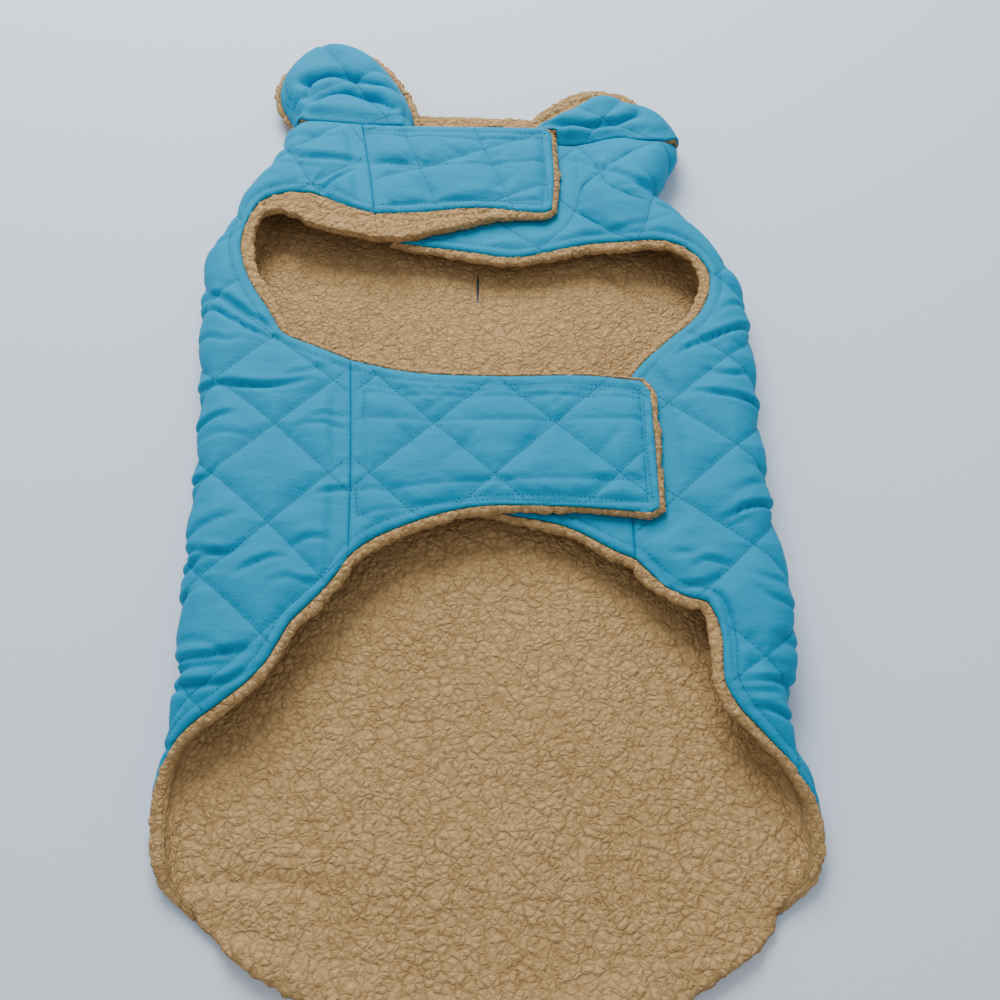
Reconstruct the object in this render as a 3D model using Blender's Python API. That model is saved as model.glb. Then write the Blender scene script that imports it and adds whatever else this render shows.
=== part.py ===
"""Quilted dog winter coat with a sherpa lining, fastened and laid out on its back.

The coat lies belly side up: the back panel is flat on the surface, both sides
rise from it, fold over at a soft round edge and meet on top in a neck strap
and a belly strap.  Every piece is a wall of even thickness, cut flat from an
outline, filled with points on its quilting grid and then laid on a form.
Lengths in the tables are millimetres.  +Y runs to the neck, +Z up.
"""
import bmesh
import bpy
import numpy as np
from mathutils import Vector
from mathutils.geometry import delaunay_2d_cdt

MM = 0.001
SHELL = 2.2            # quilted shell cloth at its seams
LINING = 4.5           # sherpa lining
SEAM_GAP = 0.3         # between neighbouring pieces
LAYER = 7.4            # one shell and lining laid on another
PANEL_LEVEL = 29.8     # outside of the under layer on top of the coat
SAG = 4.5              # how far the top layers sag between the sides
PUFF = 3.0             # rise of the quilting between its seams
PUFF_WIDTH = 17.0      # from a quilting seam to the full puff
FINE_STEP = 14.2       # point spacing on quilted cloth
PLAIN_STEP = 26.5      # point spacing on the flat back
CREST = 173.5          # where the flat pattern of a side starts, from the middle
TURN_LENGTH = 66.5     # the pattern's length round a fold, floor to top
BLEND = 133.5          # over which the top evens out a fold line that is not straight
CENTRE_X = -0.988      # centre of the coat's box in the tables' own x and y
CENTRE_Y = 7.935

# The round fold down each side: y along the coat, x of its outermost line,
# the height of the fold and its roundness in x.
FOLD_COLUMNS = ("y", "out", "rise", "round")
LEFT_FOLD = [
    (-331, -157.5, 21.5, 10),
    (-313, -176.5, 23, 13.5),
    (-293.5, -182.5, 25, 16),
    (-267, -184.5, 27.5, 18.5),
    (-232, -179.5, 31, 21.5),
    (-195, -178.5, 34, 22),
    (-140.5, -183, 37.5, 23),
    (-112, -184.5, 37.5, 23),
    (-18.5, -190, 37.5, 23),
    (80, -203, 37.5, 23),
    (115.5, -207, 38, 23),
    (139, -208, 38, 23),
    (176, -197, 38, 23),
    (211, -187.5, 38, 23),
    (235, -177, 38, 23),
    (256, -167, 37.5, 23),
    (282, -160.5, 35.5, 21.5),
    (299.5, -153.5, 34, 19.5),
]
RIGHT_FOLD = [
    (-327.5, 185, 21.5, 10),
    (-311.5, 201.5, 23, 13.5),
    (-293.5, 208, 25, 16),
    (-267, 205, 27.5, 18.5),
    (-235, 197, 32, 20.5),
    (-219.5, 194.5, 34, 22),
    (-175, 202.5, 37.5, 23),
    (-140.5, 205, 37.5, 23),
    (-82.5, 201, 37.5, 23),
    (-18.5, 200.5, 37.5, 23),
    (34, 203.5, 37.5, 23),
    (80, 204, 37.5, 23),
    (114, 201.5, 38, 23),
    (152, 188.5, 38, 23),
    (176, 174.5, 38, 23),
    (192, 161, 38, 23),
    (203, 152.5, 37.5, 23),
    (213.5, 147.5, 37.5, 23),
    (227.5, 152, 37.5, 22),
    (242, 157.5, 36.5, 21.5),
    (258, 164.5, 35.5, 20.5),
    (277.5, 170, 34, 18.5),
]

# Rims of the two sides.  A lip row gives how far round the fold the edge lies
# in degrees (180 is fully over), a rim row gives its place seen from above.
# The last column is how far the sherpa shows past the shell.
LIP_COLUMNS = ("turn", "y", "over")
LEFT_LIP = [
    (28, -331, 2.5),
    (48, -313, 5.5),
    (68, -293.5, 6),
    (92, -267, 6),
    (128, -238.5, 6),
]
RIGHT_LIP = [
    (26, -327.5, 2.5),
    (45, -311.5, 5.5),
    (66, -293.5, 6),
    (100, -272, 6),
    (128, -261.5, 6),
]
RIM_COLUMNS = ("x", "y", "over")
LEFT_ARCH = [
    (-153, -217.5, 6.5),
    (-128.5, -196, 6.5),
    (-111, -163, 6.5),
    (-78, -117.5, 6.5),
]
LEFT_LEG_RIM = [
    (-87.5, 38.5, 6),
    (-124.5, 55.5, 6),
    (-141, 67, 6.5),
    (-176, 133, 6.5),
    (-179, 173, 8.5),
    (-170, 195, 12),
    (-140.5, 205.5, 16),
    (-108.5, 195.5, 20),
    (-79.5, 184.5, 22),
]
RIGHT_ARCH = [
    (188, -245, 6.5),
    (171.5, -228, 6.5),
    (156, -205.5, 6.5),
    (155.5, -169, 6.5),
    (150.5, -149, 6.5),
    (131.5, -141, 6.5),
    (107.5, -115.5, 6),
]
RIGHT_LEG_RIM = [
    (107.5, 19.5, 4.5),
    (119.5, 37, 6),
    (163, 76, 7),
    (175, 99, 7.5),
    (176.5, 124.5, 7.5),
    (159, 147.5, 7.5),
    (113, 157, 7.5),
    (65, 151.5, 7),
    (29, 144.5, 7),
    (-26, 155, 6),
    (-66, 167, 2.5),
]

# Straight and curved seams, seen from above.
BELLY_SEAM = [(-78, -117.5, 0), (-81, -53.5, 0), (-87.5, 38.5, 0)]
NECK_SEAM = [(-79.5, 184.5, 0), (-84, 216, 0), (-88, 240, 0), (-96, 285.5, 0)]
TAB_SEAM = [(107.5, -115.5, 0), (107.5, 19.5, 0)]

BELLY_STRAP_BOTTOM = [
    (-78, -117.5, 6.5),
    (-46.5, -95.5, 6.5),
    (0, -80, 6),
    (53.5, -79.5, 4.5),
    (119, -85.5, 4),
]
BELLY_STRAP_END = [(123.5, -82.5, 4.5), (124.5, -38, 5.5), (123.5, 9.5, 5)]
BELLY_STRAP_TOP = [
    (117.5, 20, 4),
    (88, 25, 3),
    (19.5, 26.5, 3),
    (-50.5, 30.5, 4),
    (-87.5, 38.5, 6),
]
TAB_BOTTOM = [
    (-9, -74.5, 2.5),
    (31, -82.5, 5),
    (59.5, -89.5, 6),
    (84.5, -100, 6),
    (107.5, -115.5, 6),
]
TAB_TOP = [(107.5, 12.5, 0), (53.5, 10.5, 0), (-9, 9, 0)]
TAB_END = [(-9, 9, 0), (-9, -74.5, 0)]
NECK_STRAP_BOTTOM = [
    (-79.5, 184.5, 22),
    (-58.5, 184, 19),
    (-18, 185, 14),
    (29.5, 184.5, 9.5),
    (53, 185, 6.5),
]
NECK_STRAP_END = [(59.5, 189, 5), (62, 229, 5.5), (60.5, 276, 5)]
NECK_STRAP_TOP = [(56.5, 281.5, 2.5), (0, 284, 2.5), (-47, 285, 1), (-96, 285.5, 0)]
CHEST_END = [(-66, 167, 0), (-63, 215, 0), (-62.5, 271.5, 0)]
CHEST_NECK_EDGE = [
    (-62.5, 271.5, 0),
    (0, 272, 0),
    (55, 271.5, 0),
    (67.5, 270, 0),
    (82, 268.5, 0),
    (103, 272, 0),
    (117.5, 274, 0),
    (136, 267.5, 0),
]
RIGHT_NECK_TURN = [(149.5, 266, 0), (120, 270.5, 0), (80, 275, 0), (40, 276.5, 0)]
LEFT_SHOULDER = [(-96, 285.5, 0), (-110.5, 287, 0), (-130, 290, 0)]
LEFT_NECK_TURN = [(149.5, 292, 0), (120, 295, 0), (80, 297.5, 0), (40, 299, 0)]

TAIL_EDGE = [
    (-155, -332, 3),
    (-142, -341, 4.5),
    (-91.5, -364, 4.5),
    (-35.5, -382.5, 4.5),
    (18, -390, 4.5),
    (71, -384, 4.5),
    (120, -367, 4.5),
    (160.5, -344.5, 4.5),
    (182.5, -329, 3),
]
NECK_EDGE = [
    (149.5, 277.5, 0),
    (133.5, 290, 2),
    (98, 307, 4.5),
    (46.5, 320, 5.5),
    (0, 322.5, 5.5),
    (-55, 325.5, 5.5),
    (-106.5, 315, 4.5),
    (-133.5, 299.5, 0),
]
SLIT = [(1.5, 116.5), (2.9, 116.5), (3.1, 129.9), (2.8, 143.2), (1.3, 143.2), (1.2, 129.9)]

# Turned collar ends.  The base lies along the neck edge, the rim is free.
COLLAR_COLUMNS = ("x", "y", "over")
LEFT_COLLAR_RIM = [
    (-156.5, 304.5, 0),
    (-165, 317, 3),
    (-172, 333, 4.5),
    (-174, 347, 5.5),
    (-171.5, 363, 6),
    (-164, 380, 6),
    (-152.5, 396.5, 6),
    (-139, 404.5, 6.5),
    (-124.5, 404.5, 6.5),
    (-108.5, 396.5, 6),
    (-95, 385.5, 6),
    (-82, 368.5, 6),
    (-71.5, 349, 6),
    (-62.5, 331.5, 6),
    (-57, 312.5, 6),
    (-55.5, 300, 4.5),
    (-55, 287.5, 0),
]
LEFT_COLLAR_BASE = [
    (-55, 287.5, 0),
    (-96, 286.2, 0),
    (-110.5, 287.7, 0),
    (-130, 292.5, 0),
    (-144, 299, 0),
    (-156.5, 304.5, 0),
]
RIGHT_COLLAR_RIM = [
    (46.5, 287, 0),
    (50, 297, 9),
    (60, 303.5, 12.5),
    (72, 311, 13.5),
    (88, 323, 14),
    (100, 330.5, 13.5),
    (112, 332.5, 13),
    (124, 329, 12),
    (135, 321.5, 10),
    (147, 316, 6.5),
    (158, 306.5, 2.5),
    (166.5, 294, 0),
    (169, 281, 0),
]
RIGHT_COLLAR_BASE = [
    (169, 281, 0),
    (161, 276.5, 0),
    (147.5, 270.5, 0),
    (136, 270.5, 0),
    (117.5, 274.8, 0),
    (103, 272.8, 0),
    (82.5, 270.3, 0),
    (74, 270.8, 0),
]
RIGHT_COLLAR_CORNER = [(74, 270.8, 0), (71.5, 278, 0), (68.5, 286, 0), (46.5, 287, 0)]

# Largest folds: polylines seen from above, with depth and half width.
CREASE_COLUMNS = ("points", "depth", "half_width")
LEFT_COLLAR_CREASES = [
    (
        [(-150, 336), (-140, 342), (-127, 347), (-116, 346), (-103.5, 341), (-91, 337),
         (-72, 332)],
        5.5, 10,
    ),
    (
        [(-139, 313.5), (-130, 320), (-121.5, 323.5), (-109.5, 323.5), (-100.5, 320),
         (-85.5, 316), (-73, 306)],
        5.5, 10,
    ),
    ([(-145, 340), (-144.5, 332.5), (-144.5, 320)], 3, 10),
]
RIGHT_COLLAR_CREASES = [
    ([(57, 291), (72, 288), (92, 286), (112, 288), (134, 295)], 5, 9),
]
CHEST_CREASES = [
    ([(-155, 250), (-140.5, 242), (-119, 241), (-89, 240)], 3, 7),
    ([(-122.5, 206.5), (-111, 220.5), (-99.5, 229.5)], 2.5, 6),
]
NECK_STRAP_CREASES = [([(-87, 240), (-61.5, 238.5), (-37.5, 238.5)], 2.5, 7)]

QUILT_COLUMNS = ("x", "y", "half_wide", "half_tall", "turn")
QUILTS = {
    "left_side": (-283.5, -18, 42, 39, 0),
    "right_side": (268.5, 5.5, 42, 39, 0),
    "belly_strap": (-26, -13.5, 42, 41, 0),
    "belly_tab": (16, -54.5, 42, 41, 0),
    "neck_strap": (-45.5, 236.5, 39, 41, -24),
    "collar_left": (-108.5, 341.5, 42, 39, -14),
    "collar_right": (106.5, 293.5, 42, 39, 10),
}

COLOURS = {
    "shell": (0.028, 0.33, 0.50, 1.0),
    "shell_back": (0.025, 0.29, 0.45, 1.0),
    "sherpa": (0.50, 0.34, 0.19, 1.0),
}


def smooth(value):
    """Ease from 0 to 1 as value goes from 0 to 1."""
    value = np.clip(value, 0.0, 1.0)
    return value * value * (3.0 - 2.0 * value)


def resample(rows, step):
    """Spread points evenly along a smooth curve through the rows of a table."""
    rows = np.array(rows, float)
    chord = np.r_[0.0, np.cumsum(np.linalg.norm(np.diff(rows[:, :2], axis=0), axis=1))]
    if len(rows) > 2:
        slopes = np.gradient(rows, chord, axis=0)
    else:
        slopes = np.repeat((rows[1:] - rows[:1]) / chord[1], 2, axis=0)
    fine = []
    for i in range(len(rows) - 1):
        length = chord[i + 1] - chord[i]
        for t in np.linspace(0.0, 1.0, 24, endpoint=False):
            fine.append(
                (2 * t**3 - 3 * t**2 + 1) * rows[i]
                + (t**3 - 2 * t**2 + t) * length * slopes[i]
                + (3 * t**2 - 2 * t**3) * rows[i + 1]
                + (t**3 - t**2) * length * slopes[i + 1]
            )
    fine.append(rows[-1])
    fine = np.array(fine)
    along = np.r_[0.0, np.cumsum(np.linalg.norm(np.diff(fine[:, :2], axis=0), axis=1))]
    count = max(1, int(round(along[-1] / step)))
    at = np.linspace(0.0, along[-1], count + 1)
    return np.stack([np.interp(at, along, fine[:, k]) for k in range(rows.shape[1])], axis=1)


def joined(*runs):
    """One closed outline from runs whose ends meet."""
    points = []
    for run in runs:
        for row in np.array(run, float):
            if not points or np.hypot(*(row[:2] - points[-1][:2])) > 0.2:
                points.append(row)
    if np.hypot(*(points[0][:2] - points[-1][:2])) < 0.2:
        points.pop()
    outline = np.array(points)
    x, y = outline[:, 0], outline[:, 1]
    if np.sum(x * np.roll(y, -1) - np.roll(x, -1) * y) < 0:
        outline = outline[::-1]
    return outline


def widened(outline, share=1.0):
    """Move each edge of an outline out by its own third column."""
    points = outline[:, :2]
    following = np.roll(points, -1, axis=0)
    run = following - points
    normal = np.stack([run[:, 1], -run[:, 0]], axis=1)
    normal /= np.linalg.norm(normal, axis=1)[:, None]
    over = np.minimum(outline[:, 2], np.roll(outline[:, 2], -1)) * share
    moved = []
    for i in range(len(points)):
        n0, n1 = normal[i - 1], normal[i]
        h0, h1 = over[i - 1], over[i]
        cross = n0[0] * n1[1] - n0[1] * n1[0]
        if abs(cross) > 0.35:
            shift = np.array([h0 * n1[1] - h1 * n0[1], n0[0] * h1 - n1[0] * h0]) / cross
        else:
            middle = n0 + n1
            shift = middle / np.linalg.norm(middle) * (h0 + h1) / 2
        size = np.linalg.norm(shift)
        largest = 1.6 * max(h0, h1)
        if size > largest > 0:
            shift *= largest / size
        moved.append(points[i] + shift)
    result = outline.copy()
    result[:, :2] = np.array(moved)
    return result


def edge_distance(points, line, closed=True):
    """Distance from each point to a polyline."""
    points = np.atleast_2d(points)[:, :2]
    start = np.array(line)[:, :2]
    if closed:
        end = np.roll(start, -1, axis=0)
    else:
        start, end = start[:-1], start[1:]
    best = np.full(len(points), 1e9)
    for a, b in zip(start, end):
        run = b - a
        t = np.clip(((points - a) @ run) / max(run @ run, 1e-12), 0.0, 1.0)
        best = np.minimum(best, np.linalg.norm(points - a - t[:, None] * run, axis=1))
    return best


def depth_within(points, rim):
    """Distance in from a rim that runs clockwise; negative outside it."""
    points = np.atleast_2d(points)[:, :2]
    best = np.full(len(points), 1e9)
    signed = np.full(len(points), 1e9)
    for a, b in zip(rim[:-1, :2], rim[1:, :2]):
        run = b - a
        t = np.clip(((points - a) @ run) / (run @ run), 0.0, 1.0)
        away = np.linalg.norm(points - a - t[:, None] * run, axis=1)
        right = (points[:, 0] - a[0]) * run[1] - (points[:, 1] - a[1]) * run[0]
        closer = away < best - 1e-6
        best = np.where(closer, away, best)
        signed = np.where(closer, np.where(right < -1e-6, -away, away), signed)
    return signed


def inside(points, outline):
    """True for each point within a closed outline."""
    points = np.atleast_2d(points)
    x, y = points[:, 0], points[:, 1]
    result = np.zeros(len(points), bool)
    for a, b in zip(outline, np.roll(outline, -1, axis=0)):
        crosses = (a[1] > y) != (b[1] > y)
        level = b[1] - a[1] if abs(b[1] - a[1]) > 1e-12 else 1e-12
        result ^= crosses & (x < a[0] + (y - a[1]) * (b[0] - a[0]) / level)
    return result


def quilt_axes(quilt):
    """Grid steps of a quilting pattern and the matrix from x, y to the grid."""
    x, y, wide, tall, turn = quilt
    angle = np.radians(turn)
    rotate = np.array([[np.cos(angle), -np.sin(angle)], [np.sin(angle), np.cos(angle)]])
    steps = rotate @ np.array([[wide, -wide], [tall, tall]])
    return np.array([x, y]), steps, np.linalg.inv(steps)


def seam_distance(points, quilt):
    """Distance from each point to the nearest quilting seam."""
    origin, steps, inverse = quilt_axes(quilt)
    grid = (points[:, :2] - origin) @ inverse.T
    pitch = 1.0 / np.linalg.norm(inverse, axis=1)
    return np.min(np.abs(grid - np.round(grid)) * pitch, axis=1)


def fill(outline, step, quilt=None, creases=(), hole=None, within=None):
    """Fill an outline with points, kept to the quilting seams and creases.

    With `within`, the points and triangles of that smaller cut are kept as
    they are, so a lining lies evenly below its shell, and only the strip
    between the two outlines is filled.
    """
    rim = [tuple(p) for p in outline[:, :2]]
    points = list(rim)
    edges = [(i, (i + 1) % len(rim)) for i in range(len(rim))]
    loops = [np.array(rim)]
    if hole:
        first = len(points)
        points += [tuple(map(float, p)) for p in hole]
        edges += [(first + i, first + (i + 1) % len(hole)) for i in range(len(hole))]
        loops.append(np.array(hole, float))
    crease_points = []
    for line, depth, half_width in creases:
        run = resample(line, step * 0.75)
        keep = inside(run, loops[0]) & (edge_distance(run, loops[0]) > 2.2)
        run = run[keep]
        first = len(points)
        points += [tuple(p) for p in run]
        crease_points += list(run)
        edges += [(first + i, first + i + 1) for i in range(len(run) - 1)]
    cells = 5
    if within:
        step = 1e4
        points += [tuple(p) for p in within[0]]
        first = len(points) - len(within[0])
        for a, b, c in within[1] + first:
            edges += [(a, b), (b, c), (c, a)]
    if quilt:
        origin, steps, inverse = quilt_axes(quilt)
        cells = max(2, int(round(np.linalg.norm(steps[:, 0]) / step)))
        steps = steps / cells
    else:
        origin = outline[:, :2].mean(axis=0)
        steps = step * np.array([[1.0, 0.5], [0.0, 0.866]])
        inverse = np.linalg.inv(steps)
    reach = 2 + int(900 / np.linalg.norm(steps[:, 0]))
    index = np.array([(i, j) for i in range(-reach, reach) for j in range(-reach, reach)])
    place = origin + index @ steps.T
    low, high = outline[:, :2].min(axis=0), outline[:, :2].max(axis=0)
    keep = np.all((place > low) & (place < high), axis=1)
    index, place = index[keep], place[keep]
    keep = inside(place, loops[0])
    for loop in loops:
        keep &= edge_distance(place, loop) > 0.42 * step
    if crease_points:
        near = np.array([np.min(np.hypot(*(np.array(crease_points) - p).T)) for p in place])
        keep &= near > 0.5 * step
    index, place = index[keep], place[keep]
    number = {tuple(k): len(points) + n for n, k in enumerate(index)}
    points += [tuple(p) for p in place]
    if quilt:
        for (i, j), here in number.items():
            if j % cells == 0 and (i + 1, j) in number:
                edges.append((here, number[(i + 1, j)]))
            if i % cells == 0 and (i, j + 1) in number:
                edges.append((here, number[(i, j + 1)]))
    found = delaunay_2d_cdt([Vector(p) for p in points], edges, [], 0, 1e-4)
    flat = np.array([tuple(p) for p in found[0]])
    corners = np.array([f for f in found[2] if len(f) == 3])
    middle = flat[corners].mean(axis=1)
    keep = inside(middle, loops[0])
    if hole:
        keep &= ~inside(middle, loops[1])
    corners = corners[keep]
    used = np.unique(corners)
    renumber = np.full(len(flat), -1)
    renumber[used] = np.arange(len(used))
    return flat[used], renumber[corners]


def fold_at(side, y):
    """Base x, outermost x, rise and roundness of a side's fold."""
    table = np.array(LEFT_FOLD if side < 0 else RIGHT_FOLD, float)
    out, rise, width = (soft_column(table, k, y) for k in (1, 2, 3))
    return out - side * width, out, rise, width


def soft_column(table, column, y):
    """Read a table's column at y along a curve without overshoot."""
    at, value = table[:, 0], table[:, column]
    step = np.diff(at)
    slope = np.diff(value) / step
    tangent = np.zeros(len(at))
    for i in range(1, len(at) - 1):
        if slope[i - 1] * slope[i] > 0:
            weight = (2 * step[i] + step[i - 1], step[i] + 2 * step[i - 1])
            tangent[i] = sum(weight) / (weight[0] / slope[i - 1] + weight[1] / slope[i])
    tangent[0], tangent[-1] = slope[0], slope[-1]
    y = np.clip(np.asarray(y, float), at[0], at[-1])
    i = np.clip(np.searchsorted(at, y, side="right") - 1, 0, len(step) - 1)
    t = (y - at[i]) / step[i]
    return (
        (2 * t**3 - 3 * t**2 + 1) * value[i]
        + (t**3 - 2 * t**2 + t) * step[i] * tangent[i]
        + (3 * t**2 - 2 * t**3) * value[i + 1]
        + (t**3 - t**2) * step[i] * tangent[i + 1]
    )


def panel_level(x):
    """Height of the under layer on top, sagging between the sides."""
    share = np.clip(1.0 - (x / CREST) ** 2, 0.0, 1.0)
    return PANEL_LEVEL - SAG * share**2


def right_top(x, y):
    """Height of the right side's top, from its fold to under the straps."""
    base, out, rise, width = fold_at(1, y)
    return rise + (panel_level(x) - rise) * smooth((base - x) / 71.0)


def left_top(x, y):
    """Height of the left side's top, from its fold to the strap seams."""
    base, out, rise, width = fold_at(-1, y)
    return rise + (panel_level(x) + LAYER - rise) * smooth((x - base) / 53.5)


def top_x(side, reach, y):
    """x on top of a side, a given length in from its fold."""
    start = side * fold_at(side, y)[0]
    return side * (CREST - reach + (start - CREST) * (1.0 - smooth(reach / BLEND)))


def side_surface(side):
    """Form of one side: flat pattern x, y to the point in space."""

    def place(flat):
        x, y = flat[:, 0], flat[:, 1]
        base, out, rise, width = fold_at(side, y)
        around = side * x - CREST
        angle = np.pi * np.clip(around / TURN_LENGTH, -0.2, 1.0)
        reach = np.maximum(around - TURN_LENGTH, 0.0)
        over = around > TURN_LENGTH
        px = np.where(over, top_x(side, reach, y), base + side * width * np.sin(angle))
        top = right_top(px, y) if side > 0 else left_top(px, y)
        pz = np.where(over, top, rise / 2 * (1 - np.cos(angle)))
        return np.stack([px, y, pz], axis=1)

    return place


def pattern_x(side, rows, turned=False):
    """Rows seen from above, or turned round the fold, to pattern x, y, over."""
    result = []
    for x, y, over in rows:
        base, out, rise, width = (float(v) for v in fold_at(side, y))
        if turned:
            around = TURN_LENGTH * x / 180.0
        elif side * (base - x) >= 0:
            low, high = 0.0, 400.0
            for _ in range(50):
                reach = (low + high) / 2
                if side * float(top_x(side, reach, y)) > side * x:
                    low = reach
                else:
                    high = reach
            around = TURN_LENGTH + reach
        else:
            rest = np.clip(1.0 - abs(out - x) / width, -1.0, 1.0)
            around = TURN_LENGTH * (90.0 + np.degrees(np.arccos(rest))) / 180.0
        result.append((side * (CREST + around), y, over))
    return result


def base_line(side, step, pattern=False):
    """The fold line on the floor from tail to neck, on the back or a side's pattern."""
    table = LEFT_FOLD if side < 0 else RIGHT_FOLD
    y = np.linspace(table[0][0], table[-1][0], int((table[-1][0] - table[0][0]) / step))
    if pattern:
        x = np.full(len(y), side * (CREST + SEAM_GAP))
    else:
        x = fold_at(side, y)[0] - side * SEAM_GAP / 2
    return np.stack([x, y, np.zeros(len(y))], axis=1)


def flat_surface(flat):
    """Form of the back: on the floor, its tail edge lifting a little."""
    x, y = flat[:, 0], flat[:, 1]
    near = edge_distance(flat, TAIL_LINE, closed=False)
    lift = smooth((-334.5 - y) / 21.5) * smooth(1.0 - near / 26.5)
    height = 3.6 + 1.4 * np.sin(x / 27.5) + 0.9 * np.sin(x / 11.5 + 1.0)
    return np.stack([x, y, lift * height], axis=1)


def strap_surface(flat):
    """Form of a strap: one layer above the right side and its tab."""
    x, y = flat[:, 0], flat[:, 1]
    lean = facing(under_surface, flat[:, :2], 1)[:, 2]
    return np.stack([x, y, right_top(x, y) + LAYER / lean], axis=1)


def under_surface(flat):
    """Form of the tab that runs on from the right side below the strap."""
    x, y = flat[:, 0], flat[:, 1]
    return np.stack([x, y, right_top(x, y)], axis=1)


def collar_surface(rim, crest, rim_near, rim_far, shoulder, creases):
    """Form of a turned collar end: domed inside its rim, rolled at creases.

    The rim lies higher where it rests on the back's neck edge than beyond it.
    """

    def place(flat):
        x, y = flat[:, 0], flat[:, 1]
        depth = depth_within(flat, rim)
        rim_height = rim_near + (rim_far - rim_near) * smooth((y - 334.5) / 23.0)
        dome = 1.0 - (1.0 - np.clip(depth / shoulder, 0.0, 1.0)) ** 2.3
        dome += 0.0045 * np.minimum(depth, 0.0)
        top = rim_height + (crest - rim_height) * dome
        fade = smooth(depth / 14.0)
        for line, drop, half_width in creases:
            off = edge_distance(flat, resample(line, 5.5), closed=False)
            top = top - drop * fade * (1.0 - smooth(off / half_width))
        return np.stack([x, y, top], axis=1)

    return place


def facing(surface, flat, up):
    """Unit normals of a form, by small steps in the flat."""
    step = 0.5
    along_x = surface(flat + [step, 0]) - surface(flat - [step, 0])
    along_y = surface(flat + [0, step]) - surface(flat - [0, step])
    normal = np.cross(along_x, along_y) * up
    return normal / np.linalg.norm(normal, axis=1)[:, None]


def relief(flat, quilt, outline, creases, cover, side=0):
    """Rise of the quilted shell over its seams, less its creases."""
    if quilt is None:
        return np.zeros(len(flat))
    away = seam_distance(flat, quilt)
    rise = PUFF * (1.0 - (1.0 - np.clip(away / PUFF_WIDTH, 0, 1)) ** 2)
    rise *= smooth((edge_distance(flat, outline) - 1.8) / 14.0)
    if side:
        around = side * flat[:, 0] - CREST
        rise *= smooth((around / TURN_LENGTH - 0.28) / 0.3)
        seen = side_surface(side)(flat)
    else:
        seen = flat
    for line, drop, half_width in creases:
        off = edge_distance(seen, resample(line, 5.5), closed=False)
        rise -= drop * (1.0 - smooth(off / half_width))
    for patch in cover:
        off = np.where(inside(seen, patch), 0.0, edge_distance(seen, patch))
        rise *= smooth((off - 10.0) / 9.0)
    return np.maximum(rise, -0.5 * SHELL)


def material(name, colour):
    """A fabric material for one piece."""
    made = bpy.data.materials.new(name)
    made.use_nodes = True
    shader = made.node_tree.nodes["Principled BSDF"]
    shader.inputs["Base Color"].default_value = colour
    shader.inputs["Roughness"].default_value = 0.8
    made.diffuse_color = colour
    return made


def wall(name, surface, up, cut, outer, inner, colour):
    """A closed wall over a filled cut, between two offsets from its form."""
    flat, corners = cut
    place = surface(flat)
    normal = facing(surface, flat, up)
    place[:, 0] -= CENTRE_X
    place[:, 1] -= CENTRE_Y
    top = place + normal * np.reshape(outer, (-1, 1))
    low = place + normal * np.reshape(inner, (-1, 1))
    count = len(flat)
    points = np.concatenate([top, low]) * MM
    faces = [tuple(c) for c in corners]
    faces += [tuple(c[::-1] + count) for c in corners]
    sides = {}
    for a, b, c in corners:
        for edge in ((a, b), (b, c), (c, a)):
            if edge[::-1] in sides:
                del sides[edge[::-1]]
            else:
                sides[edge] = True
    for a, b in sides:
        faces.append((b, a, a + count))
        faces.append((b, a + count, b + count))
    mesh = bpy.data.meshes.new(name)
    mesh.from_pydata([tuple(p) for p in points], [], [tuple(int(v) for v in f) for f in faces])
    work = bmesh.new()
    work.from_mesh(mesh)
    if work.calc_volume(signed=True) < 0:
        bmesh.ops.reverse_faces(work, faces=work.faces)
    work.to_mesh(mesh)
    work.free()
    mesh.materials.append(material(name + "_cloth", colour))
    made = bpy.data.objects.new(name, mesh)
    bpy.context.scene.collection.objects.link(made)
    return made


def make_piece(name, surface, outline, up=1, quilt=None, creases=(), cover=(), side=0, hole=None):
    """Shell and lining of one piece of the coat."""
    step = FINE_STEP if quilt else PLAIN_STEP
    crease_lines = creases if not side else ()
    cut = fill(outline, step, quilt, crease_lines, hole)
    rise = relief(cut[0], quilt, outline, creases, cover, side)
    shell_colour = COLOURS["shell"] if quilt else COLOURS["shell_back"]
    wall(name + "_shell", surface, up, cut, rise, -SHELL, shell_colour)
    lining_cut = fill(widened(outline), PLAIN_STEP, hole=hole, within=cut)
    start = -SHELL - SEAM_GAP
    wall(name + "_lining", surface, up, lining_cut, start, start - LINING, COLOURS["sherpa"])


def run(rows, step=FINE_STEP):
    """A smooth run of outline points through a table's rows."""
    return resample(rows, step)


def top_run(side, rows):
    """A run seen from above, brought into a side's flat pattern."""
    return pattern_x(side, run(rows))


def turned_run(side, rows, start=None, end=None):
    """A run round the fold, joined to a point seen from above."""
    places = pattern_x(side, rows, turned=True)
    if start:
        places = pattern_x(side, [start]) + places
    if end:
        places = places + pattern_x(side, [end])
    return run(places)


for old in list(bpy.data.objects):
    bpy.data.objects.remove(old, do_unlink=True)

GAP = SEAM_GAP / 2
TAIL_LINE = run(TAIL_EDGE)

# Back: between the two fold lines on the floor, tail edge and neck edge free.
back_outline = joined(
    base_line(-1, FINE_STEP)[::-1],
    [(-148, -331.5, 0)],
    TAIL_LINE,
    [(175.5, -328, 0)],
    base_line(1, FINE_STEP),
    run(NECK_EDGE),
)
make_piece("back", flat_surface, back_outline, up=-1, hole=SLIT)

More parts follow.
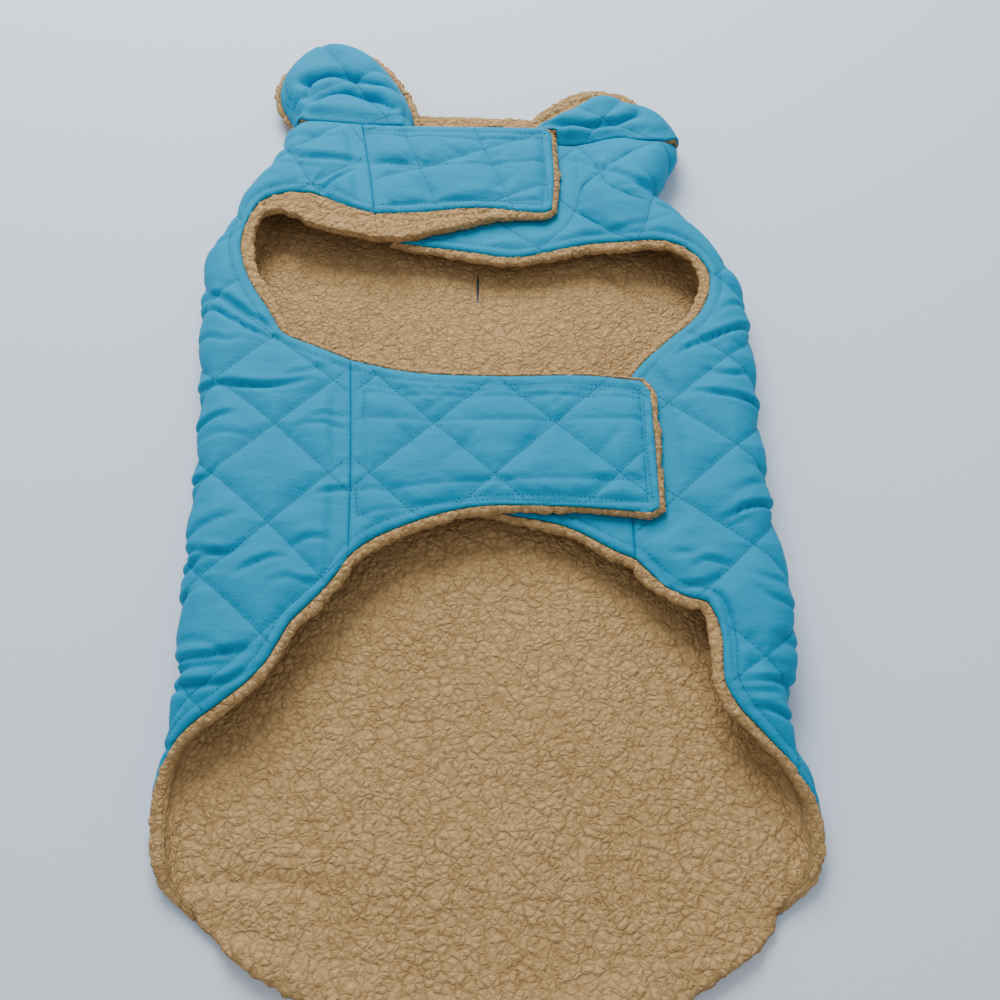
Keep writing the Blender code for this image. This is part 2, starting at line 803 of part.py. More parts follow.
# Straps lie on the right side; the left side is sewn to them edge to edge.
belly_strap_outline = joined(
    run([(x + GAP, y, over) for x, y, over in BELLY_SEAM[::-1]]),
    run(BELLY_STRAP_BOTTOM),
    run(BELLY_STRAP_END),
    run(BELLY_STRAP_TOP),
)
neck_strap_outline = joined(
    run([(x + GAP, y, over) for x, y, over in NECK_SEAM[::-1]]),
    run(NECK_STRAP_BOTTOM),
    run(NECK_STRAP_END),
    run(NECK_STRAP_TOP),
)
covers = [widened(belly_strap_outline, 1.3), widened(neck_strap_outline, 1.3)]
make_piece("belly_strap", strap_surface, belly_strap_outline, quilt=QUILTS["belly_strap"])
make_piece(
    "neck_strap",
    strap_surface,
    neck_strap_outline,
    quilt=QUILTS["neck_strap"],
    creases=NECK_STRAP_CREASES,
)

# Left side: fold line, lip up the tail, arch, belly seam, leg rim, neck seam.
left_outline = joined(
    base_line(-1, FINE_STEP, pattern=True),
    turned_run(-1, LEFT_NECK_TURN[::-1], end=LEFT_SHOULDER[-1]),
    top_run(-1, LEFT_SHOULDER[::-1]),
    top_run(-1, [(x - GAP, y, over) for x, y, over in NECK_SEAM[::-1]]),
    top_run(-1, LEFT_LEG_RIM[::-1]),
    top_run(-1, [(x - GAP, y, over) for x, y, over in BELLY_SEAM[::-1]]),
    top_run(-1, LEFT_ARCH[::-1]),
    turned_run(-1, LEFT_LIP[::-1], start=LEFT_ARCH[0]),
)
make_piece(
    "left_side",
    side_surface(-1),
    left_outline,
    up=-1,
    quilt=QUILTS["left_side"],
    creases=CHEST_CREASES,
    side=-1,
)

# Right side: as the left, with the chest panel that runs under the neck strap.
right_outline = joined(
    base_line(1, FINE_STEP, pattern=True),
    turned_run(1, RIGHT_NECK_TURN[::-1], end=CHEST_NECK_EDGE[-1]),
    top_run(1, CHEST_NECK_EDGE[::-1]),
    top_run(1, CHEST_END[::-1]),
    top_run(1, RIGHT_LEG_RIM[::-1]),
    top_run(1, [(x + GAP, y, over) for x, y, over in TAB_SEAM[::-1]]),
    top_run(1, RIGHT_ARCH[::-1]),
    turned_run(1, RIGHT_LIP[::-1], start=RIGHT_ARCH[0]),
)
make_piece(
    "right_side",
    side_surface(1),
    right_outline,
    up=-1,
    quilt=QUILTS["right_side"],
    cover=covers,
    side=1,
)

# Tab below the belly strap, sewn to the right side.
tab_outline = joined(
    run([(x - GAP, y, over) for x, y, over in [(107.5, -115.5, 0), (107.5, 12.5, 0)]]),
    run(TAB_TOP),
    run(TAB_END),
    run(TAB_BOTTOM),
)
make_piece(
    "belly_tab",
    under_surface,
    tab_outline,
    quilt=QUILTS["belly_tab"],
    cover=covers,
)

# Turned collar ends, domed, each beside its own shoulder.
left_rim = run(LEFT_COLLAR_RIM, 8.0)
left_collar_outline = joined(left_rim, run(LEFT_COLLAR_BASE, 8.0))
left_collar = collar_surface(
    left_rim,
    crest=36.5,
    rim_near=17,
    rim_far=19,
    shoulder=23.0,
    creases=LEFT_COLLAR_CREASES,
)
make_piece(
    "collar_left",
    left_collar,
    left_collar_outline,
    quilt=QUILTS["collar_left"],
)
right_rim = run(RIGHT_COLLAR_RIM, 8.0)
right_collar_outline = joined(right_rim, run(RIGHT_COLLAR_BASE, 8.0), run(RIGHT_COLLAR_CORNER, 8.0))
right_collar = collar_surface(
    right_rim,
    crest=35.5,
    rim_near=20,
    rim_far=20,
    shoulder=19.5,
    creases=RIGHT_COLLAR_CREASES,
)
make_piece(
    "collar_right",
    right_collar,
    right_collar_outline,
    quilt=QUILTS["collar_right"],
)
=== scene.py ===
# %% [markdown]
# # A quilted dog winter coat with a sherpa lining
#
# The coat lies on its back with the belly side up.  Its two sides rise from
# the back, fold over and meet on top in a neck strap and a belly strap.  This
# lesson dresses the plain solids of the coat: every solid is replaced by fine
# cloth on the same form, with puffed quilting, puckers, stitches and curly
# pile.  Lengths in the tables are millimetres, +Y runs to the neck, +Z is up.

# %% Load the coat's solids
import math
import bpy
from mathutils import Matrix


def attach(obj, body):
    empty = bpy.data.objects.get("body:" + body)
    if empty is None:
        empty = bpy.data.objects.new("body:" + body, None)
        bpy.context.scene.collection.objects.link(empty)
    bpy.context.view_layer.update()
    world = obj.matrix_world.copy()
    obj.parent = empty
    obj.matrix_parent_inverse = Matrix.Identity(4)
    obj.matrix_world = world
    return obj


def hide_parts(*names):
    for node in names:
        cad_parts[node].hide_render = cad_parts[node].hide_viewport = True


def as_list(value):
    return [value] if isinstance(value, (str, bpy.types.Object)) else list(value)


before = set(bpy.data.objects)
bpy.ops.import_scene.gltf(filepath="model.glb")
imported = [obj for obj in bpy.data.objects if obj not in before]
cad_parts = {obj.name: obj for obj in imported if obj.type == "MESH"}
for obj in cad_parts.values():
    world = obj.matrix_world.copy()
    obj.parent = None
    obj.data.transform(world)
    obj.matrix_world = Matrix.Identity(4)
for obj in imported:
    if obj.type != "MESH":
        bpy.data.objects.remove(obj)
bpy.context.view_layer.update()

from types import SimpleNamespace

import bmesh
import bpy
import numpy as np
from mathutils import Vector
from mathutils.geometry import delaunay_2d_cdt

MM = 0.001

# %% [markdown]
# ## The view
#
# A coat laid out on a table is looked at from above its tail end.  The camera
# stands back along -Y and looks down at 60 degrees.  It is made with the
# camera operator and turned about X alone, so that the view stays level.

# %% Camera
LOOK_AT = Vector((0.0201, -0.0629, 0.0))
VIEW_DISTANCE = 0.70
VIEW_ELEVATION = math.radians(60.5)

bpy.ops.object.select_all(action="DESELECT")
back_off = Vector((0.0, -math.cos(VIEW_ELEVATION), math.sin(VIEW_ELEVATION)))
bpy.ops.object.camera_add(
    location=LOOK_AT + VIEW_DISTANCE * back_off,
    rotation=(math.pi / 2 - VIEW_ELEVATION, 0.0, 0.0),
)
camera = bpy.context.object
camera.data.lens = 36.0
camera.data.sensor_width = 36.0
camera.data.dof.use_dof = False
bpy.context.scene.camera = camera
print("camera at", [round(v, 3) for v in camera.location])

# %% [markdown]
# ## Floor and light
#
# A pale floor keeps the eye on the cloth.  One wide lamp beyond the neck, a
# little to the left, gives the soft shadows below the edges, and an even sky
# fills them.  A wide lamp is softer than a small one, as a window is softer
# than a bulb.

# %% Floor and light
FLOOR_COLOUR = (0.70, 0.80, 0.91, 1.0)
SKY_COLOUR = (0.97, 0.98, 1.0, 1.0)

bpy.ops.mesh.primitive_plane_add(size=9.0, location=(0.0, 0.0, -0.0004))
floor = bpy.context.object
floor.name = "floor"
floor_material = bpy.data.materials.new("pale_floor")
floor_material.use_nodes = True
floor_shader = floor_material.node_tree.nodes["Principled BSDF"]
floor_shader.inputs["Base Color"].default_value = FLOOR_COLOUR
floor_shader.inputs["Roughness"].default_value = 0.75
floor_shader.inputs["Specular IOR Level"].default_value = 0.25
floor.data.materials.append(floor_material)

world = bpy.data.worlds.new("soft_room")
world.use_nodes = True
world.node_tree.nodes["Background"].inputs["Color"].default_value = SKY_COLOUR
world.node_tree.nodes["Background"].inputs["Strength"].default_value = 0.60
bpy.context.scene.world = world


def add_lamp(name, place, size, watts):
    """A square soft lamp that faces the middle of the coat."""
    bpy.ops.object.light_add(type="AREA", location=place)
    lamp = bpy.context.object
    lamp.name = name
    lamp.data.size = size
    lamp.data.energy = watts
    lamp.rotation_euler = (-Vector(place)).to_track_quat("-Z", "Y").to_euler()
    return lamp


add_lamp("window_lamp", (-0.28, 1.35, 1.25), 1.1, 46.0)
print("floor and lamps are set")

# %% [markdown]
# ## Driving sizes
#
# These are the sizes a maker would note first: how thick the cloth is, how
# high it puffs, how far the hem is stitched in, and how the coat lies.  The
# solids use the same ones, so cloth and solids agree.

# %% Driving sizes
SHELL = 2.2             # quilted shell cloth at its seams
LINING = 4.5            # sherpa lining
SEAM_GAP = 0.3          # between neighbouring pieces
GAP = SEAM_GAP / 2
LAYER = 7.4             # one shell and lining laid on another
SETTLING = 13.0         # width over which a collar drops to its base
PANEL_LEVEL = 29.8      # outside of the under layer on top of the coat
SAG = 4.5               # how far the top layers sag between the sides
PUFF = 3.0              # rise of the quilting between its seams
PUFF_WIDTH = 17.0       # from a quilting seam to the full puff
CREST = 173.5           # where the flat pattern of a side starts, from the middle
TURN_LENGTH = 66.5      # the pattern's length round a fold, floor to top
BLEND = 133.5           # over which the top evens out an uneven fold line
CENTRE = np.array([-0.545, 5.977])  # centre of the coat's box in the tables' x and y
DRAFT_STEP = 14.2       # point spacing while an outline is drawn
CLOTH_STEP = 1.8        # point spacing on the finished quilted cloth
PILE_STEP = 1.5         # point spacing on the pile's rolls along free edges
LUMP_STEP = 2.3         # point spacing on the open field of pile
HEM = 7.5               # stitched line in from a free edge
STITCH = 3.4            # one stitch and its gap
LUMP = 11.0             # width of a lump of pile, several clumps together
NUB = 5.4               # width of one clump of curls on a rolled edge

# %% [markdown]
# ## The fold down each side
#
# Seen from its end the coat is a flattened tube.  The table says where the
# outermost line of the fold lies, how high it rises and how round it is.

# %% Fold tables
# Columns: y, out, rise, round.
LEFT_FOLD = [
    (-331, -160, 21.5, 10), (-313, -176.5, 23, 13.5), (-293.5, -182.5, 25, 16),
    (-267, -184.5, 27.5, 18.5), (-232, -179.5, 31, 21.5), (-195, -178.5, 34, 22),
    (-140.5, -183, 37.5, 23), (-112, -184.5, 37.5, 23), (-18.5, -190, 37.5, 23),
    (80, -203, 37.5, 23), (115.5, -206, 38, 23), (139, -207, 38, 23), (176, -195.5, 38, 23),
    (211, -186, 38, 23), (235, -174.5, 38, 23), (256, -165.5, 37.5, 23), (282, -159.5, 35.5, 21.5),
    (299.5, -153.5, 34, 19.5),
]
RIGHT_FOLD = [
    (-327.5, 185, 21.5, 10), (-311.5, 201.5, 23, 13.5), (-293.5, 208, 25, 16),
    (-267, 205, 27.5, 18.5), (-235, 195.5, 32, 20.5), (-219.5, 193, 34, 22),
    (-175, 202.5, 37.5, 23), (-140.5, 205, 37.5, 23), (-82.5, 200.5, 37.5, 23),
    (-18.5, 200.5, 37.5, 23), (34, 203, 37.5, 23), (80, 204, 37.5, 23), (114, 202, 38, 23),
    (152, 186.5, 38, 23), (176, 172.5, 38, 23), (192, 159.5, 38, 23), (203, 151, 37.5, 23),
    (213.5, 146.5, 37.5, 23), (227.5, 152.5, 37.5, 22), (242, 158.5, 36.5, 21.5),
    (258, 165.5, 35.5, 20.5), (277.5, 171, 34, 18.5),
]

# %% [markdown]
# ## The cut edges
#
# Each edge is a short row of places along a smooth curve.  The last column
# says how far the sherpa shows past the shell.  A lip is the part of an edge
# that is still turning round the fold, so its first column is an angle: 180
# degrees is fully over.

# %% Edge tables
# Columns: turn, y, over.
LEFT_LIP = [
    (24, -331, 2), (38, -326, 5), (52, -313, 7), (68, -293.5, 6.5), (92, -267, 6),
    (128, -238.5, 6),
]
RIGHT_LIP = [
    (24, -327.5, 2), (36, -323, 5), (50, -311.5, 7), (66, -293.5, 6.5), (100, -272, 6),
    (128, -261.5, 6),
]
# Columns: x, y, over.
LEFT_ARCH = [
    (-153, -217.5, 6.5), (-128.5, -196, 6.5), (-121.2, -186, 6.5), (-111, -163.5, 6.5),
    (-98.2, -148, 6.5), (-87.5, -134, 6.5), (-78, -116.5, 6.5),
]
LEFT_LEG_RIM = [
    (-87.5, 39, 4), (-112, 50.3, 4), (-128, 57, 4.5), (-137.5, 61.5, 5), (-143.5, 70, 6.5),
    (-152, 85, 8), (-161.5, 99.5, 8.5), (-170, 115, 8.5), (-177, 133, 8.5), (-179, 173, 10),
    (-170.5, 194.5, 15), (-140.5, 205.5, 25), (-121, 202, 30), (-108.5, 195.3, 29),
    (-79.5, 185, 24),
]
RIGHT_ARCH = [
    (188, -245, 6.5), (171.5, -228, 6.5), (156, -205.5, 6.5), (155.5, -169, 6.5),
    (150.5, -149, 6.5), (131.5, -141, 6.5), (107.5, -115.5, 6),
]
RIGHT_LEG_RIM = [
    (107.5, 19.5, 4.5), (119.5, 37, 6), (143, 59.3, 7), (163, 76.5, 7), (175, 99, 7.5),
    (176.5, 124.5, 7.5), (159, 147.5, 7.5), (113, 157.7, 7.5), (90, 159, 7.5), (72.7, 155.6, 7),
    (47, 149.3, 7), (29, 146.5, 7), (8, 150, 7), (-15, 154.3, 6.5), (-34, 157, 5.5),
    (-66, 162, 2.5),
]
BELLY_SEAM = [(-78, -116.5, 0), (-81, -53.5, 0), (-87.5, 39, 0)]
NECK_SEAM = [(-79.5, 185, 0), (-84, 216, 0), (-88, 240, 0), (-96, 285.5, 0)]
TAB_SEAM = [(107.5, -115.5, 0), (107.5, 19.5, 0)]
BELLY_STRAP_BOTTOM = [
    (-78, -116.5, 6.5), (-64.7, -104.8, 6.5), (-46.5, -95.1, 6.5), (0, -79.8, 6), (53.5, -79.2, 4),
    (119, -85.5, 3),
]
BELLY_STRAP_END = [(124, -82.5, 3), (124.6, -38, 3.5), (124.5, 9.5, 3)]
BELLY_STRAP_TOP = [(118.5, 20, 3), (88, 25, 3), (19.5, 26.5, 3), (-50.5, 30.5, 4), (-87.5, 39, 4)]
TAB_BOTTOM = [
    (-9, -74.5, 2.5), (31, -83, 5), (59.5, -89.7, 6), (77, -98, 6), (91.5, -107.7, 6),
    (107.5, -115.5, 6),
]
TAB_TOP = [(107.5, 12.5, 0), (53.5, 10.5, 0), (-9, 9, 0)]
TAB_END = [(-9, 9, 0), (-9, -74.5, 0)]
NECK_STRAP_BOTTOM = [
    (-79.5, 185, 27), (-58.5, 186, 26.5), (-38, 188, 24.5), (-17.5, 191, 21.5), (2.5, 192.5, 17.5),
    (18.6, 191.5, 13), (35, 188.3, 8), (55, 186.3, 4),
]
NECK_STRAP_END = [(60.5, 190, 3.5), (63, 229, 3.5), (61.8, 276, 3)]
NECK_STRAP_TOP = [(57.5, 283, 2), (0, 285.5, 2.5), (-47, 285.7, 1), (-96, 285.5, 0)]
CHEST_END = [(-66, 162, 0), (-63, 215, 0), (-62.5, 271.5, 0)]
CHEST_NECK_EDGE = [
    (-62.5, 271.5, 0), (0, 272, 0), (55, 271.5, 0), (67.5, 270, 0), (82, 268.5, 0), (103, 272, 0),
    (117.5, 274, 0), (136, 267.5, 0),
]
RIGHT_NECK_TURN = [(149.5, 266, 0), (120, 270.5, 0), (80, 275, 0), (40, 276.5, 0)]
LEFT_SHOULDER = [(-96, 285.5, 0), (-110.5, 287, 0), (-130, 290, 0)]
LEFT_NECK_TURN = [(149.5, 292, 0), (120, 295, 0), (80, 297.5, 0), (40, 299, 0)]
TAIL_EDGE = [
    (-150.5, -331.5, 0), (-147, -334.6, 3.5), (-140, -339, 4.5), (-126, -347, 4.5),
    (-91.5, -364, 4.5), (-35.5, -382.5, 4.5), (18, -390, 4.5), (71, -384, 4.5), (120, -367, 4.5),
    (152, -347, 4.5), (166, -340.3, 6), (174, -334, 5.5), (175.5, -328, 0),
]
NECK_EDGE = [
    (149.5, 277.5, 0), (133.5, 290, 2), (98, 307, 4.5), (46.5, 320, 5.5), (0, 322.5, 5.5),
    (-55, 325.5, 5.5), (-106.5, 315, 4.5), (-133.5, 299.5, 0),
]
SLIT = [(1.5, 116.5), (2.9, 116.5), (3.1, 129.9), (2.8, 143.2), (1.3, 143.2), (1.2, 129.9)]
# Columns: x, y, over.
LEFT_COLLAR_RIM = [
    (-157.5, 301, 0), (-166, 316.5, 3), (-172.8, 332.7, 4.5), (-174.5, 347, 5.5), (-171.5, 363, 6),
    (-163.3, 379.2, 6), (-151.9, 394.5, 6), (-138.5, 400.5, 6.5), (-125, 401, 6.5),
    (-108.9, 395.4, 6), (-94.2, 386.3, 6), (-80.5, 370, 6), (-69.5, 350.7, 6), (-60.7, 332.5, 6),
    (-55, 313, 6), (-53.8, 300, 4.5), (-53.8, 287.7, 0),
]
LEFT_COLLAR_BASE = [
    (-53.8, 287.7, 0), (-96, 286.2, 0), (-110.5, 287.7, 0), (-130, 290.9, 0), (-144, 293.2, 0),
    (-152, 297.6, 0), (-157.5, 301, 0),
]
RIGHT_COLLAR_RIM = [
    (44.5, 286.9, 0), (50, 297, 12), (60, 303.5, 17), (72, 311, 19), (88, 323.3, 19.5),
    (100, 330, 18.5), (112, 331, 16.5), (124, 328.5, 14), (135, 320.5, 11), (147, 315.5, 7.5),
    (158, 307, 4.5), (167, 294.3, 3), (171.8, 278, 0),
]
RIGHT_COLLAR_BASE = [
    (171.8, 278, 0), (165, 270.2, 0), (149, 267.7, 0), (136, 269.2, 0), (117.5, 274.8, 0),
    (103, 272.8, 0), (82.5, 270.3, 0), (67.6, 270.8, 0),
]
RIGHT_COLLAR_CORNER = [(67.6, 270.8, 0), (67.2, 278, 0), (66.6, 286.2, 0), (44.5, 286.9, 0)]
BACK_LEFT_CORNER = (-150.5, -331.5, 0)
BACK_RIGHT_CORNER = (175.5, -328, 0)

# %% [markdown]
# ## Quilting and creases
#
# The quilting is a grid of diamonds, set for each piece by the place of one
# crossing, half a diamond's width and height, and its turn.  Creases are listed
# one by one: a line, its depth and its half width.  Their lengths and gaps are
# uneven, because cloth never folds to a pattern.

# %% Quilting and crease tables
# Columns: x, y, half wide, half tall, turn.
QUILTS = {
    "left_side": (-272.5, -17, 42, 38.4, 0),
    "right_side": (279.5, 3.5, 42, 37.8, 0),
    "belly_strap": (-26, -13.5, 42, 41, 0),
    "belly_tab": (16, -54.5, 42, 41, 0),
    "neck_strap": (-45.5, 236.5, 39, 41, -24),
    "collar_left": (-108.5, 341.5, 42, 39, -14),
    "collar_right": (106.5, 293.5, 42, 39, 10),
}

# Columns: line, depth, half width.
LEFT_COLLAR_CREASES = [
    (
        [(-150, 336), (-140, 342), (-127, 347), (-116, 346), (-103.5, 341), (-91, 337),
         (-72, 332)],
        5.5, 10,
    ),
    (
        [(-139, 313.5), (-130, 320), (-121.5, 323.5), (-109.5, 323.5), (-100.5, 320),
         (-85.5, 316), (-73, 306)],
        5.5, 10,
    ),
    ([(-145, 340), (-144.5, 332.5), (-144.5, 320)], 3, 10),
]
RIGHT_COLLAR_CREASES = [
    ([(57, 291), (72, 288), (92, 286), (112, 288), (134, 295)], 5, 9),
]
SIDE_CREASES = {
    "left_side": [
        ([(-205, 101), (-192, 98), (-181, 91), (-163, 77), (-146, 69)], 2.4, 2),
        ([(-206, 88), (-192, 84), (-179, 75), (-163, 65), (-150, 60)], 2.5, 1.9),
        ([(-207, 59), (-194, 60), (-176, 53), (-165, 58)], 1.5, 2),
        ([(-204, 19), (-190, 17), (-171, 15), (-155, 13), (-139, 13), (-123, 17), (-113, 20)], 3.2, 1.9),
        ([(-135, 22), (-121, 26), (-106, 33)], 1.4, 1.8),
        ([(-203, -17), (-188, -17), (-177, -13), (-162, -9)], 2.4, 1.8),
        ([(-190, -30), (-166, -26), (-146, -31)], 1, 2.4),
        ([(-116, -13), (-101, -10), (-84, -10)], 1.3, 1.8),
        ([(-123, -20), (-107, -17), (-86, -20)], 1.4, 1.9),
        ([(-200, -60), (-184, -59), (-170, -56)], 2.5, 2),
        ([(-103, -74), (-90, -69), (-77, -69)], 2.2, 1.8),
        ([(-198, -107), (-180, -101), (-164, -93), (-148, -88)], 1.6, 2.3),
        ([(-197, -112), (-179, -113), (-168, -116), (-154, -117), (-138, -106)], 1.9, 1.9),
        ([(-197, -134), (-183, -126), (-171, -120), (-152, -117)], 2.2, 1.8),
        ([(-115, -111), (-105, -106), (-90, -106)], 1.7, 2.2),
        ([(-149, -133), (-138, -126), (-124, -120), (-115, -120)], 2, 1.9),
        ([(-127, -138), (-114, -134), (-101, -137), (-90, -134)], 1.3, 1.8),
        ([(-195, -154), (-180, -146), (-170, -140)], 2.2, 1.9),
        ([(-180, -174), (-160, -177), (-142, -187)], 1, 1.9),
        ([(-194, -186), (-174, -186), (-158, -186), (-145, -183), (-131, -181)], 2.9, 1.9),
        ([(-192, -194), (-175, -192), (-157, -191), (-147, -190)], 2, 1.8),
        ([(-191, -202), (-172, -203), (-158, -203), (-148, -202), (-139, -199), (-130, -193)], 3.1, 1.9),
        ([(-192, -236), (-172, -240), (-163, -246)], 1.5, 1.8),
        ([(-206, 148), (-188, 156), (-179, 170)], 1.2, 2),
        ([(-215, 99), (-200, 97), (-184, 99)], 1.4, 1.8),
        ([(-175, 235), (-160, 235), (-144, 234), (-122, 228)], 1.1, 2),
        ([(-143, 206), (-130, 209), (-116, 201), (-102, 192), (-87, 185)], 1.3, 1.8),
        ([(-155, 250), (-140.5, 242), (-119, 241), (-89, 240)], 2.7, 2.9),
        ([(-122.5, 206.5), (-111, 220.5), (-99.5, 229.5)], 2.7, 2.3),
        ([(-168, 262), (-150, 268), (-128, 266), (-104, 270)], 1.1, 3.1),
        ([(-159, 74), (-152, 69), (-145, 64)], 2.2, 1.9),
        ([(-167, 66), (-157, 61), (-147, 57), (-138, 56)], 2.0, 1.9),
        ([(-152, 80), (-147, 73), (-142, 66)], 1.4, 1.8),
    ],
    "right_side": [
        ([(216, 77), (202, 72), (195, 68), (183, 61), (174, 57), (161, 52), (142, 40)], 3.1, 1.9),
        ([(165, 28), (173, 25), (183, 23), (190, 25), (197, 30)], 2.2, 1.8),
        ([(151, 11), (169, 7), (184, 4), (198, 2), (216, -2)], 2.9, 1.9),
        ([(216, -50), (198, -51), (181, -49)], 1.4, 2),
        ([(173, -74), (183, -68), (199, -60)], 1.5, 2.7),
        ([(161, -94), (173, -89), (179, -85), (187, -82), (197, -79), (216, -74)], 3.1, 1.8),
        ([(163, -99), (174, -95), (184, -92)], 1.4, 1.8),
        ([(130, -117), (137, -114), (141, -116), (149, -115)], 1.5, 1.8),
        ([(141, -126), (151, -121), (156, -122), (168, -126)], 2, 1.8),
        ([(130, -137), (143, -138), (152, -136), (162, -131)], 1.9, 1.8),
        ([(176, -132), (187, -135), (202, -137)], 1.3, 1.9),
        ([(178, -140), (188, -148), (204, -151), (216, -151)], 1.7, 2),
        ([(214, -178), (200, -176), (190, -172)], 1.4, 2),
        ([(160, -202), (178, -201), (194, -200), (214, -198)], 2.5, 1.8),
        ([(161, -207), (174, -208), (189, -206)], 1.4, 1.9),
        ([(168, -217), (179, -218), (185, -220), (191, -222), (213, -229)], 2.9, 1.8),
        ([(189, -245), (180, -248), (174, -246)], 0.8, 1.8),
        ([(149, -141), (156, -145), (160, -155), (161, -168), (161, -184), (160, -200)], 2.2, 1.8),
        ([(109, -109), (113, -115), (120, -124), (126, -133), (134, -137)], 1.5, 1.8),
        ([(214, 96), (196, 90), (184, 84), (176, 75)], 1.5, 1.9),
        ([(217, 126), (198, 130), (182, 137)], 1.2, 2.2),
        ([(75, 253), (83, 247), (104, 231), (127, 215), (158, 192)], 2.4, 2.7),
        ([(128, 246), (137, 228), (143, 213), (147, 200)], 2, 1.8),
        ([(81, 164), (110, 168), (128, 171), (155, 176)], 1, 2),
        ([(86, 234), (104, 223), (115, 214)], 1.2, 1.9),
        ([(160, 206), (136, 211), (112, 210)], 1.1, 2.7),
    ],
}
STRAP_CREASES = {
    "belly_strap": [
        ([(-60, -8), (-44, -26), (-33, -44)], 0.9, 3.4),
        ([(6, -16), (-4, -30), (-22, -50)], 0.8, 3.4),
        ([(52, -12), (40, -30), (32, -52)], 0.8, 3.6),
        ([(106, -16), (92, -34), (78, -50)], 0.8, 3.4),
        ([(-66, 14), (-58, 6), (-46, -6)], 0.7, 2.2),
        ([(-12, 12), (-24, 2), (-38, -8)], 0.7, 2.2),
        ([(70, 12), (60, 2), (46, -8)], 0.6, 2.2),
        ([(-62, -66), (-50, -74), (-38, -80)], 0.8, 2.4),
        ([(28, -62), (16, -68), (4, -74)], 0.7, 2.2),
        ([(96, -60), (84, -68), (70, -76)], 0.7, 2.2),
    ],
    "neck_strap": [
        ([(-87, 240), (-61, 238), (-37, 238)], 2.2, 6.0),
        ([(-30, 262), (-12, 250), (8, 240)], 0.8, 3.0),
        ([(36, 264), (22, 252), (10, 244)], 0.8, 3.0),
        ([(-60, 224), (-44, 214), (-30, 200)], 0.9, 3.2),
        ([(40, 230), (22, 218), (8, 204)], 0.8, 3.2),
    ],
}
TAIL_CREASES = [
    ([(-174, -310), (-134, -311), (-94, -312), (-70, -326), (-58, -339)], 2.2, 5.0),
    ([(20, -92), (33, -151), (47, -204)], 1.2, 12.0),
    ([(-60, -110), (-78, -160), (-88, -220)], 1.0, 13.0),
    ([(96, -140), (112, -190), (108, -250)], 1.1, 12.0),
    ([(-20, -250), (26, -262), (80, -256)], 0.9, 14.0),
    ([(99, 152), (128, 116), (147, 84)], 2.0, 5.0),
    ([(-146, 112), (-133, 142), (-139, 178)], 1.6, 6.0),
]

# %% [markdown]
# ## Sewn lines of the straps
#
# The fastening tape below each strap is sewn on through all its layers.  Its
# sewing shows on top as straight rows that press the padding flat.

# %% Tables of the sewn lines
STRAP_SEWING = {
    "belly_strap": [
        [(-79, 20), (-69, 17.5), (-37, 15), (0, 14), (41, 15.5), (83, 14), (107, 12), (120, 8.5)],
        [(-76, 12), (-51, 10), (0, 8.5), (41, 9), (82, 8), (119, 4.5)],
        [(-76, -11), (-15, -12), (47, -12), (119, -13)],
        [(-79, -68), (-46, -66), (-15, -62), (40, -59.5), (64, -60), (119, -61)],
        [(-73, -87), (-53, -82.5), (-15, -77), (16, -74), (40, -75), (63, -76.5), (120, -78)],
        [(119.5, 4), (119, -31), (120, -78)],
        [(-76, 12), (-76, -11)],
        [(-77, -68), (-74, -87)],
    ],
    "neck_strap": [
        [(-92, 274.5), (-35, 271), (11, 269.5), (54, 270.5)],
        [(-84, 240.5), (-46, 240), (26, 240), (57, 243)],
        [(-67, 193), (-41, 197), (-11, 200), (57.5, 198)],
        [(54, 270.5), (57, 235), (58, 199)],
    ],
}

# %% [markdown]
# ## Curves and distances
#
# Small helpers come first.  `resample` spreads points evenly on a smooth
# curve through a table's rows, and `near_line` measures how far each point of
# the cloth lies from a line, which every crease, hem and seam needs.

# %% Curves and distances


def smooth(value):
    """Ease from 0 to 1 as value goes from 0 to 1."""
    value = np.clip(value, 0.0, 1.0)
    return value * value * (3.0 - 2.0 * value)


def hill(value):
    """A soft bump: 1 at 0, almost nothing beyond 2."""
    return np.exp(-np.square(value))


def resample(rows, step):
    """Spread points evenly along a smooth curve through the rows of a table."""
    rows = np.array(rows, float)
    chord = np.r_[0.0, np.cumsum(np.linalg.norm(np.diff(rows[:, :2], axis=0), axis=1))]
    if len(rows) > 2:
        slopes = np.gradient(rows, chord, axis=0)
    else:
        slopes = np.repeat((rows[1:] - rows[:1]) / chord[1], 2, axis=0)
    t = np.linspace(0.0, 1.0, 24, endpoint=False)[:, None]
    fine = []
    for i, length in enumerate(np.diff(chord)):
        fine.append(
            (2 * t**3 - 3 * t**2 + 1) * rows[i]
            + (t**3 - 2 * t**2 + t) * length * slopes[i]
            + (3 * t**2 - 2 * t**3) * rows[i + 1]
            + (t**3 - t**2) * length * slopes[i + 1]
        )
    fine = np.concatenate(fine + [rows[-1:]])
    along = np.r_[0.0, np.cumsum(np.linalg.norm(np.diff(fine[:, :2], axis=0), axis=1))]
    count = max(1, int(round(along[-1] / step)))
    at = np.linspace(0.0, along[-1], count + 1)
    return np.stack([np.interp(at, along, fine[:, k]) for k in range(rows.shape[1])], axis=1)


